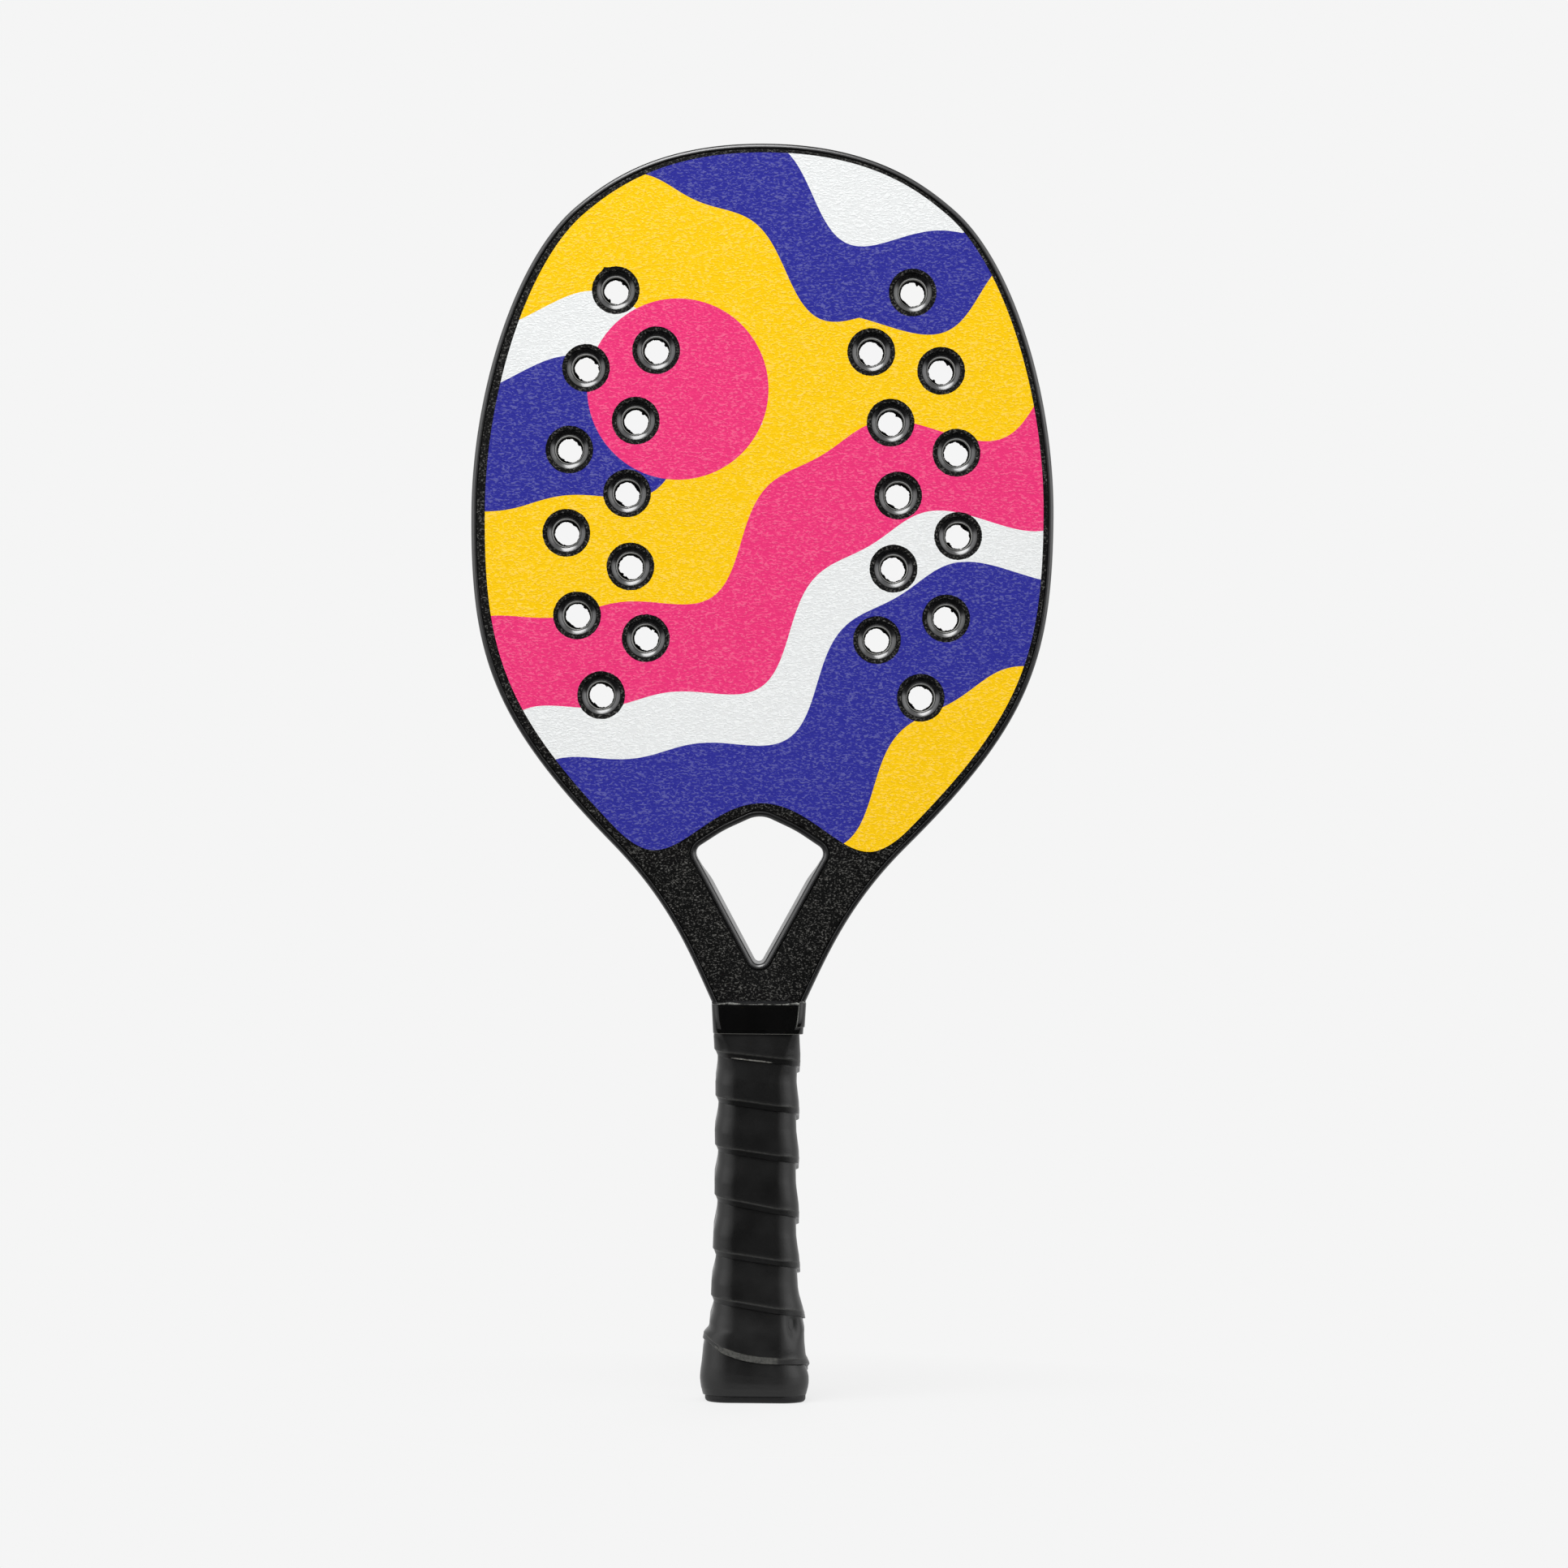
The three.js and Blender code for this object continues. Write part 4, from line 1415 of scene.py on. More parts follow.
@dataclass
class HoleLiners:
    """The lined air holes: a rolled lip at each face and torn moulding flash in the bore."""

    holes: list[AirHole]
    finish: Material
    bore_radius: float = 5.5
    lip_radius: float = 7.6
    lip_level: float = 10.85
    lip_degrees: tuple[float, float] = (19, 38)
    lip_steps: int = 12
    brow_section: tuple[tuple[float, float], ...] = ((0.27, 0), (0.17, 0.13), (0.08, 0.32), (0, 0.6))
    throat_radius: float = 5.68
    throat_level: float = 5.2
    sleeve_radius: float = 6.4
    sleeve_level: float = 9.8
    rim_section: tuple[tuple[float, float], ...] = ((0.12, 0.2), (-0.2, 0.32), (-0.2, 0.55), (0, 0.8))
    bore_margin: float = 0.11
    flash_level: float = 0.35
    # The flash's foot lies this many times as far from the bore's middle as its tip
    flash_foot_times: float = 3
    flash_reach: tuple[float, float] = (0.5, 0.95)
    tear_reach: float = 0.95
    tear_degrees: tuple[float, float] = (48, 232)
    tear_width: float = 24
    tear_shift: float = 12
    # Share of a tear that is even, and share that follows the coarse jags
    tear_shares: tuple[float, float] = (0.4, 0.6)
    # Shares of the fine and of the coarse jags
    jag_shares: tuple[float, float] = (0.45, 0.55)
    coarse_steps: int = 6
    steps: int = 144
    sharp_degrees: float = 50
    seed: int = 5

    def section(self) -> tuple[Array, Array, Array, Array]:
        """Works out the liner's closed section.

        The lip's slope steepens evenly from its edge to a brow that rolls into the throat. A
        fine cut rim follows, and torn flash stands in the middle of the bore.

        Returns:
            Radii, levels, the share of the flash at each point, and where the rim is cut.
        """
        brow = self.throat_radius + self.brow_section[0][0]
        lip, step = np.linspace(self.lip_radius, brow, self.lip_steps, endpoint=False, retstep=True)
        slopes = np.tan(np.radians(np.linspace(*self.lip_degrees, self.lip_steps)))
        fall = np.concatenate([[0], np.cumsum(slopes) * -step])
        points = [(radius, self.lip_level - drop, 0, 0) for radius, drop in zip(lip, fall)]
        foot = self.lip_level - fall[-1]
        points += [(self.throat_radius + r, foot - drop, 0, 0) for r, drop in self.brow_section]
        throat = self.throat_level
        points += [(self.bore_radius + r, throat - drop, 0, 1) for r, drop in self.rim_section]
        points += [(self.bore_radius, self.flash_level * self.flash_foot_times, 0, 0)]
        points += [(self.bore_radius, self.flash_level, 1, 0)]
        back = [(radius, -height, share, cut) for radius, height, share, cut in points[::-1]]
        sleeve, edge = self.sleeve_radius, self.sleeve_level
        outside = [(self.lip_radius, -edge), (sleeve, -edge), (sleeve, edge), (self.lip_radius, edge)]
        whole = np.array([*points, *back, *[(radius, height, 0, 0) for radius, height in outside]])
        return tuple(whole.T)

    def flash(self, random: np.random.Generator) -> Array:
        """Works out how far the torn flash reaches into the bore at each angle.

        It is a jagged walk that two tears, at opposite sides of the hole, lengthen.

        Args:
            random: Source of the jags.

        Returns:
            The reach at each step round the bore.
        """
        degrees = np.linspace(0, 360, self.steps, endpoint=False)
        jag = random.uniform(0, 1, self.steps)
        coarse = random.uniform(0, 1, self.steps // self.coarse_steps)
        coarse = np.repeat(coarse, self.coarse_steps)
        fine_share, coarse_share = self.jag_shares
        least, more = self.tear_shares
        low, high = self.flash_reach
        reach = low + (high - low) * (fine_share * jag + coarse_share * coarse)
        for centre in self.tear_degrees:
            shift = random.uniform(-self.tear_shift, self.tear_shift)
            off = (degrees - centre - shift + 180) % 360 - 180
            near = np.exp(-((off / self.tear_width) ** 2))
            reach = reach + self.tear_reach * near * (least + more * coarse)
        return reach

    def build(self) -> list[Piece]:
        """Builds a liner in every hole and returns them."""
        random = np.random.default_rng(self.seed)
        radii, levels, shares, cuts = self.section()
        inside = (radii < self.bore_radius + self.bore_margin) & (cuts == 0)
        angle = np.linspace(0, math.tau, self.steps, endpoint=False)[:, None]
        pieces = []
        for hole in self.holes:
            radius = radii[None, :] - self.flash(random)[:, None] * shares[None, :]
            places = np.stack(
                [hole.x + radius * np.cos(angle), hole.z + radius * np.sin(angle)], axis=-1
            )
            shells = Shells()
            shells.add(*loft(upright(places, levels[None, :]), closed_path=True))
            name = hole.node.replace("hole_liner", "air_hole_liner")
            piece = shells.write(name, self.finish, self.sharp_degrees)
            # The cut mark tells the finish where to paint a highlight on the rim
            for name, amount in (("cut", cuts), ("bore", inside)):
                mark(piece, name, np.tile(amount, (self.steps, 1)))
            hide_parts(hole.node)
            pieces.append(piece)
        return pieces


@dataclass(frozen=True)
class Handle:
    """The surface that the tapes lie on, and the rounded section of the handle.

    The butt's wrapping bulges more to the left, and higher up on the right.
    """

    left_half_widths: tuple[tuple[float, float], ...] = (
        (0, 18.8), (21.5, 18.8), (25, 18.4), (27.3, 17.4), (29.2, 15.6), (40, 15.1),
        (52, 14.8), (60, 14.5), (85, 14), (128, 14), (138, 14.5), (160.2, 15.7),
    )
    right_half_widths: tuple[tuple[float, float], ...] = (
        (0, 18), (12, 17.9), (18.6, 17.2), (24, 17.4), (28.5, 17.8), (33, 17), (37, 16.1),
        (42, 15.3), (52, 14.8),
        (60, 14.5), (85, 14), (128, 14), (138, 14.5), (160.2, 15.7),
    )
    half_depths: tuple[tuple[float, float], ...] = (
        (0, 16.1), (21.5, 16.1), (27, 15.6), (33, 14.9), (40, 14.2), (50, 13.6),
        (60, 13.3), (85, 13.25), (138, 13.25), (160.2, 11.7),
    )
    corner_levels: tuple[tuple[float, float], ...] = (
        (0, 6.9), (130, 6.9), (140, 8.8), (146, 11.2), (152, 11.9), (160.2, 11.65),
    )
    clearance: float = 0.45
    reference_height: float = 85
    flat_steps: int = 9
    corner_steps: int = 15

    def stations(self) -> tuple[Array, Array]:
        """Works out the stations of one turn, from the middle of the front towards +X.

        Each has the place of its arc's centre, as shares of the section's corner, and the
        direction that it faces.

        Returns:
            Shares of the corner in X and Y, and facing angles.
        """
        corners, angles = [], []
        flat = np.linspace(0, 1, self.flat_steps, endpoint=False)[:, None]
        arc = np.linspace(0, 1, self.corner_steps, endpoint=False)
        for quarter in range(4):
            facing = (quarter - 1) * math.pi / 2
            here = np.round([math.cos(facing), math.sin(facing)])
            ahead = np.round([math.cos(facing + math.pi / 2), math.sin(facing + math.pi / 2)])
            corner = here + ahead
            corners += [here + flat * ahead, np.repeat(corner[None], len(arc), axis=0)]
            corners.append(corner - flat * here)
            angles += [np.full(len(flat), facing), facing + arc * math.pi / 2]
            angles.append(np.full(len(flat), facing + math.pi / 2))
        return np.concatenate(corners), np.concatenate(angles)

    def section(self, corners: Array, angles: Array, height: Array, offset: Array) -> Array:
        """Places points on the handle.

        A point is its arc's centre plus the arc's radius and its offset along its facing.

        Args:
            corners: Shares of the section's corner in X and Y.
            angles: Facing angles.
            height: Z of each point.
            offset: Distance of each point out of the handle's surface.

        Returns:
            X, Y and Z in the last axis.
        """
        left, right, depth = (
            np.interp(height, *np.array(table).T) + self.clearance
            for table in (self.left_half_widths, self.right_half_widths, self.half_depths)
        )
        half_width = np.where(corners[..., 0] < 0, left, right)
        corner_level = np.interp(height, *np.array(self.corner_levels).T)
        radius = depth - corner_level
        x = corners[..., 0] * (half_width - radius) + np.cos(angles) * (radius + offset)
        y = corners[..., 1] * corner_level + np.sin(angles) * (radius + offset)
        return np.stack([x, y, np.broadcast_to(height, x.shape)], axis=-1)

    def strip(
        self, corners: Array, angles: Array, height: Array, offset: Array
    ) -> tuple[Array, Faces]:
        """Lays a closed strip round the handle.

        Args:
            corners: Shares of the section's corner at each station.
            angles: Facing angle at each station.
            height: Z of each point, a row for each station.
            offset: Distance of each point out of the handle's surface.

        Returns:
            The points and the faces.
        """
        return loft(self.section(corners[:, None, :], angles[:, None], height, offset))

    def turn_shares(self) -> Array:
        """Works out the share of a turn travelled at each station, along the surface."""
        corners, angles = self.stations()
        height = np.full(len(angles), self.reference_height)
        places = self.section(corners, angles, height, np.zeros(len(angles)))
        steps = np.linalg.norm(np.roll(places, -1, axis=0) - places, axis=1)
        travelled = np.concatenate([[0], np.cumsum(steps)[:-1]])
        return travelled / steps.sum()

    def winding(self, first: float, last: float) -> tuple[Array, Array, Array]:
        """Lists the stations between two numbers of turns.

        Args:
            first: Turns at the start, below zero before the first pass of the front.
            last: Turns at the end.

        Returns:
            Turns, corner shares and facing angles at each station.
        """
        corners, angles = self.stations()
        rounds = np.arange(math.floor(first), math.ceil(last) + 1)
        turns = (rounds[:, None] + self.turn_shares()[None, :]).ravel()
        corners = np.tile(corners, (len(rounds), 1))
        angles = np.tile(angles, len(rounds))
        keep = (turns >= first) & (turns <= last)
        return turns[keep], corners[keep], angles[keep]


@dataclass(frozen=True)
class LapSection:
    """How far a turn of the grip tape stands out, up its width.

    Up to the skive's top the offsets lie at set distances from the lower edge. Above it they
    lie at shares of what is left below the next turn.
    """

    edge: tuple[float, ...]
    above: tuple[tuple[float, float], ...]

    def offsets(self, shares: Array) -> Array:
        """Lists the offsets, from the lower edge to where the next turn covers the tape."""
        return np.concatenate([self.edge, np.interp(shares, *np.array(self.above).T)])


@dataclass
class GripTape:
    """The grip's strip, wound from the butt up, each turn lapped over the one below it.

    On the right its edges stand square, on the left they are pulled in and the tape bulges
    above them, and on the front and back they lie between.
    """

    handle: Handle
    finish: Material
    edges: tuple[tuple[float, float], ...] = (
        (-1.3, 160.4), (-0.75, 151.2), (-0.25, 138.6), (0.25, 132.1), (0.75, 120.1),
        (1.25, 113.3), (1.75, 100.7), (2.25, 93.5), (2.75, 81.3), (3.25, 71.5), (3.75, 59.6),
        (4.25, 51.8), (4.75, 41.1), (5.25, 32.4), (5.6, 29.6), (5.75, 26.2), (5.828, 24.7),
        (5.849, 24.3), (5.869, 22.9), (5.89, 20.9), (5.9045, 19.4), (5.933, 17.9),
        (5.972, 16.6), (6.019, 15.8), (6.079, 15.5), (6.2, 15), (6.6, 2.7), (9, 2.7),
    )
    first_turn: float = -1.24
    last_turn: float = 7.5
    top_height: float = 158.6
    lap: float = 3.6
    edge_rises: tuple[float, ...] = (0, 0.12, 0.9, 1.7, 2.15, 2.35, 2.55, 2.9)
    front: LapSection = LapSection(
        (1.5, 1.7, 1.85, 2, 2.08, 2.2, 2.2, 2.12), ((0, 2.12), (0.5, 1.8), (1, 1.15))
    )
    right: LapSection = LapSection(
        (1.85, 2.1, 2.12, 2.14, 2.15, 2.22, 2.2, 2.12),
        ((0, 2.12), (0.15, 2), (0.4, 1.45), (0.6, 1.05), (1, 0.92)),
    )
    left: LapSection = LapSection(
        (1.05, 1.2, 1.5, 1.85, 2.1, 2.35, 2.4, 2.4),
        ((0, 2.4), (0.32, 2.45), (0.48, 1.95), (0.68, 1.35), (1, 1.1)),
    )
    foot: LapSection = LapSection(
        (1.4, 1.6, 1.75, 1.85, 1.9, 1.95, 2, 2.03),
        ((0, 2.03), (0.2, 2.1), (0.5, 1.95), (1, 1.25)),
    )
    foot_turn: float = 6.25
    rows_above: int = 22
    tuck_rises: tuple[float, ...] = (0.5, 3.3, 3.6, 3.4)
    tuck_offsets: tuple[float, ...] = (0.95, 0.62, 0.2, 0)
    inner_rises: tuple[float, ...] = (5.6, 4.2, 3.5, 0)
    inner_offsets: tuple[float, ...] = (0.05, 0.5, 0.86, 0.9)
    full_width: float = 7
    least_visible: float = 0.05
    least_scale: float = 0.02
    foot_blend: float = 0.3
    unevenness: float = 0.12
    # Each wave's angle for one turn and for one millimetre up, and its phase
    waves: tuple[tuple[float, float, float], ...] = ((5.3, 0.21, 0), (11.7, -0.13, 1))
    waves_top: float = 150
    waves_fade: float = 8
    side_gain: float = 2
    front_share: float = 0.25
    swell: float = 0.75
    swell_height: float = 9.5
    swell_span: float = 5
    dent_place: tuple[float, float] = (0.121, 30.4)
    dent_span: tuple[float, float] = (0.019, 4.4)
    dent_depth: float = 2.3
    flares: tuple[tuple[float, float, float, float], ...] = ((6.2, 0.05, 2.8, 1.2), (5.79, 0.07, 3, 1.2))
    # Where the first lap's edge is painted pale, for wear and a painted glint
    wear_and_glint_turns: tuple[float, float] = (-0.1, 0.075)
    wear_and_glint_blends: tuple[float, float] = (0.03, 0.05)
    wear_and_glint_rows: int = 2
    skive_turns: tuple[float, float] = (5.862, 6.082)
    # Height of the skive at its first end, and how much it grows from there
    skive_reach: tuple[float, float] = (0.4, 2.2)
    skive_blend: float = 0.05
    # First row of the painted ridge highlight and the row after its last, back from the edge's top
    ridge_highlight_rows: tuple[int, int] = (4, 1)
    sharp_degrees: float = 28

    def relief(self, turns: Array, angles: Array, height: Array) -> Array:
        """Works out how far the strip stands out of its even winding.

        It is the sum of slow sine waves, the swell of the turn over the butt's sides, and the
        dent of the fold beside the last flap.

        Args:
            turns: Turns at each point.
            angles: Facing angle at each point.
            height: Z of each point.

        Returns:
            The distance outwards at each point.
        """
        wave = sum(
            np.sin(turns * per_turn + height * per_mm + phase)
            for per_turn, per_mm, phase in self.waves
        )
        swell = np.exp(-(((height - self.swell_height) / self.swell_span) ** 2))
        sideways = np.cos(angles) ** 2
        off_turn = ((turns % 1) - self.dent_place[0]) / self.dent_span[0]
        off_height = (height - self.dent_place[1]) / self.dent_span[1]
        dent = np.exp(-(off_turn**2) - off_height**2)
        sideward = np.clip(np.abs(np.cos(angles)) * self.side_gain, self.front_share, 1)
        facing = self.unevenness * sideward
        fade = np.clip((self.waves_top - height) / self.waves_fade, 0, 1)
        return facing * fade * wave / 2 + self.swell * swell * sideways - self.dent_depth * dent

    def build(self) -> Piece:
        """Builds the wound strip and returns it."""
        turns, corners, angles = self.handle.winding(self.first_turn, self.last_turn)
        edge_turns, edge_heights = np.array(self.edges).T
        low = np.interp(turns, edge_turns, edge_heights)
        above = np.interp(turns - 1, edge_turns, edge_heights)
        top = np.minimum(above, self.top_height - self.lap)
        visible = np.maximum(top - low, self.least_visible)
        small = np.clip(visible / self.full_width, self.least_scale, 1)
        steps = np.linspace(0, 1, self.rows_above + 1)[1:]
        top_rise = self.edge_rises[-1]
        rises = [*self.edge_rises, *(top_rise * (1 - steps)), *self.tuck_rises, *self.inner_rises]
        count = len(self.edge_rises)
        shares = np.zeros(len(rises))
        shares[count : count + len(steps)] = steps
        shares[count + len(steps) : -len(self.inner_rises)] = 1
        height = low[:, None] + np.array(rises) * small[:, None] + shares * visible[:, None]
        rightward = np.maximum(np.cos(angles), 0)[:, None]
        leftward = np.maximum(-np.cos(angles), 0)[:, None]
        outer = self.front.offsets(steps) * (1 - rightward - leftward)
        outer = outer + self.right.offsets(steps) * rightward + self.left.offsets(steps) * leftward
        low_share = smooth((turns - self.foot_turn) / self.foot_blend)[:, None]
        outer = outer + (self.foot.offsets(steps) - outer) * low_share
        hidden = [*self.tuck_offsets, *self.inner_offsets]
        offset = np.concatenate([outer, np.broadcast_to(hidden, (len(turns), len(hidden)))], axis=1)
        turned = turns[:, None]
        number = np.arange(height.shape[1])
        shown = number < outer.shape[1]
        offset = offset + self.relief(turned, angles[:, None], height) * shown
        for turn, span, rise, amount in self.flares:
            off_tip, off_edge = (turned - turn) / span, (height - low[:, None]) / rise
            offset = offset + amount * np.exp(-(off_tip**2) - off_edge**2) * shown
        shells = Shells()
        shells.add(*self.handle.strip(corners, angles, height, offset))
        tape = shells.write("wound_grip_tape", self.finish, self.sharp_degrees)
        first, last = self.skive_turns
        least, more = self.skive_reach
        reach = least + more * smooth((turned - first) / self.skive_blend)
        skive = (turned > first) & (turned < last) & (np.array(rises) < reach)
        # Wear and a painted glint along the first lap's edge
        first, last = self.wear_and_glint_turns
        start, end = self.wear_and_glint_blends
        worn = smooth((turned - first) / start) * smooth((last - turned) / end)
        mark(tape, "skive", skive & (number < count))
        mark(tape, "wear", worn * (number < self.wear_and_glint_rows))
        # Painted highlight along the ridge above each lap's edge
        first, last = self.ridge_highlight_rows
        ridge = (number >= count - first) & (number < count - last)
        mark(tape, "ridge", ridge * (1 - low_share))
        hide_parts("grip_tape")
        return tape


@dataclass
class FinishingTape:
    """The glossy band over the grip's top, its free end lapped higher on the right."""

    handle: Handle
    finish: Material
    film_finish: Material
    free_end: float = 0.089
    overlap: float = 0.22
    low: float = 146.2
    high: float = 158
    inner_offset: float = 2.2
    thickness: float = 0.32
    lap_lift: float = 0.42
    low_rise: float = 2.8
    high_rise: float = 0.75
    settle_start: float = 0.1
    settle: float = 0.75
    # How far the layer under the lap is pressed in, as a share of the lap's lift
    sink_share: float = 0.1
    corner: float = 0.12
    edge_share: float = 0.025
    rows_up: int = 9
    film_turns: tuple[float, float] = (-0.13, 0.15)
    film_thickness: float = 0.1
    film_edge: float = 0.1
    film_haze: float = 0.4
    film_full: float = 0.5
    film_clumps: tuple[tuple[float, float, float], ...] = (
        (-0.055, 0.018, 0.7), (0.01, 0.012, 0.25), (0.075, 0.02, 0.9), (0.118, 0.014, 0.8),
    )
    film_steps: int = 220
    # Shares of a clump's height that are even, broadly jagged and finely jagged
    film_jags: tuple[float, float, float] = (0.45, 0.4, 0.15)
    film_jag_steps: int = 4
    film_lift_turns: float = 0.004
    film_foot: float = 0.3
    film_pale: float = 1.2
    film_gap: float = 0.02
    sharp_degrees: float = 30
    seed: int = 3

    def build(self) -> list[Piece]:
        """Builds the band and the torn film along its top edge and returns them."""
        return [self.band(), self.torn_film()]

    def band(self) -> Piece:
        """Builds the band: a spiral whose outer end stands off the layer below it."""
        end = self.free_end + 1 + self.overlap
        turns, corners, angles = self.handle.winding(self.free_end, end)
        travelled = turns - self.free_end
        outer_share = 1 - smooth((travelled - self.settle_start) / self.settle)
        low = self.low + self.low_rise * outer_share
        high = self.high + self.high_rise * outer_share
        lift = self.lap_lift * (outer_share - self.sink_share * (travelled > 1))
        up = np.linspace(self.edge_share, 1 - self.edge_share, self.rows_up - 2)
        up = np.concatenate([[0], up, [1]])
        rise = np.concatenate([up, up[::-1]])
        bevel = np.zeros(len(rise))
        bevel[[0, self.rows_up - 1]] = -self.corner
        base = np.concatenate([np.full(self.rows_up, self.thickness), np.zeros(self.rows_up)]) + bevel
        height = low[:, None] + rise[None, :] * (high - low)[:, None]
        offset = self.inner_offset + base[None, :] + lift[:, None]
        shells = Shells()
        shells.add(*self.handle.strip(corners, angles, height, offset))
        band = shells.write("wound_finishing_tape", self.finish, self.sharp_degrees)
        # Paler along the band's edges and its free end
        mark(band, "edge", np.maximum(bevel < 0, (travelled < travelled[1])[:, None]))
        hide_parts("finishing_tape")
        return band

    def torn_film(self) -> Piece:
        """Builds the fringe: a thin strip that rises in jagged clumps over the band's edge."""
        random = np.random.default_rng(self.seed)
        turns, corners, angles = self.handle.winding(*self.film_turns)
        fine = np.linspace(turns[0], turns[-1], self.film_steps)
        x, y, angles = (np.interp(fine, turns, column) for column in (*corners.T, angles))
        even, broad, sharp = self.film_jags
        knots = fine[:: self.film_jag_steps]
        jag = even + broad * np.interp(fine, knots, random.uniform(0, 1, len(knots)))
        jag = jag + sharp * random.uniform(0, 1, len(fine))
        rise = np.full(len(fine), self.film_edge)
        for centre, span, height in self.film_clumps:
            rise = rise + height * np.exp(-(((fine - centre) / span) ** 2)) * jag
        lifted = smooth((fine - self.free_end) / self.film_lift_turns) * self.high_rise
        top = self.high + lifted + rise
        band = self.high + lifted - self.film_foot
        pale = top - self.film_edge * (self.film_pale + random.uniform(0, 1, len(fine)))
        height = np.stack([band, pale, top, top, band], axis=1)
        inner = self.inner_offset + self.thickness + self.film_gap
        inner = inner + self.lap_lift * (lifted > 0)
        thick = self.film_thickness
        offset = inner[:, None] + np.array([thick, thick, thick, 0, 0])
        shells = Shells()
        shells.add(*self.handle.strip(np.stack([x, y], axis=1), angles, height, offset))
        film = shells.write("torn_film_edge", self.film_finish, self.sharp_degrees)
        whitened = np.clip(self.film_haze + (rise - self.film_edge) / self.film_full, 0, 1)
        mark(film, "stretched", whitened[:, None] * np.array([0, 1, 1, 1, 0]))
        return film


@dataclass
class ButtCap:
    """The hard cap: a flat foot with a rounded rim, and a skirt round the handle's end."""

    handle: Handle
    finish: Material
    half_width: float = 18.4
    half_depth: float = 16.25
    corner_level: float = 7.85
    flange_reach: float = 1.6
    flange_height: float = 3.9
    rim_radius: float = 1.5
    skirt_height: float = 21.5
    wall: float = 2.7
    chamfer: float = 0.4
    sharp_degrees: float = 35
    rim_steps: int = 5

    def build(self) -> Piece:
        """Builds the cap as one closed stack of rounded sections and returns it."""
        turn = np.linspace(0, math.pi / 2, self.rim_steps + 1)
        reach = self.flange_reach
        foot = reach - self.rim_radius * (1 - np.sin(turn))
        foot_height = self.rim_radius * (1 - np.cos(turn))
        top = self.flange_height - foot_height[::-1]
        outer = [*foot, *foot[::-1], 0, 0, -self.chamfer]
        bevel = self.skirt_height - self.chamfer
        heights = [*foot_height, *top, self.flange_height, bevel, self.skirt_height]
        inner = [-self.wall, -self.wall]
        inner_heights = [self.skirt_height, self.flange_height]
        corners, angles = self.handle.stations()
        rows = []
        for offset, height in zip([*outer, *inner], [*heights, *inner_heights]):
            radius = self.half_depth - self.corner_level + offset
            x = corners[:, 0] * (self.half_width - self.half_depth + self.corner_level)
            y = corners[:, 1] * self.corner_level
            around = np.stack([x + np.cos(angles) * radius, y + np.sin(angles) * radius], axis=1)
            rows.append(np.column_stack([around, np.full(len(around), height)]))
        shells = Shells()
        shells.add(*loft(np.stack(rows)))
        cap = shells.write("moulded_butt_cap", self.finish, self.sharp_degrees)
        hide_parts("butt_cap")
        return cap


@dataclass
class HiddenCore:
    """The pieces inside, which keep their solids and get their own finish."""

    finishes: dict[str, Material]

    def dress(self) -> list[Piece]:
        """Assigns each finish to its node and returns the nodes."""
        nodes = []
        for name, finish in self.finishes.items():
            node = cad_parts[name]
            node.data.materials.clear()
            node.data.materials.append(finish)
            nodes.append(node)
        return nodes


# Studio


@dataclass(frozen=True)
class Softbox:
    """A rectangular soft light, in metres and watts."""

    name: str
    place: Point
    size: tuple[float, float]
    power: float
    shows_in_gloss: bool = True

    def build(self, aim: Point) -> None:
        """Makes the light.

        Args:
            aim: The point that it faces.
        """
        light = bpy.data.lights.new(self.name, "AREA")
        light.shape = "RECTANGLE"
        light.size, light.size_y = self.size
        light.energy = self.power
        lamp = bpy.data.objects.new(self.name, light)
        lamp.location = self.place
        facing = Vector(aim) - Vector(self.place)
        lamp.rotation_euler = facing.to_track_quat("-Z", "Y").to_euler()
        lamp.visible_glossy = self.shows_in_gloss
        bpy.context.scene.collection.objects.link(lamp)


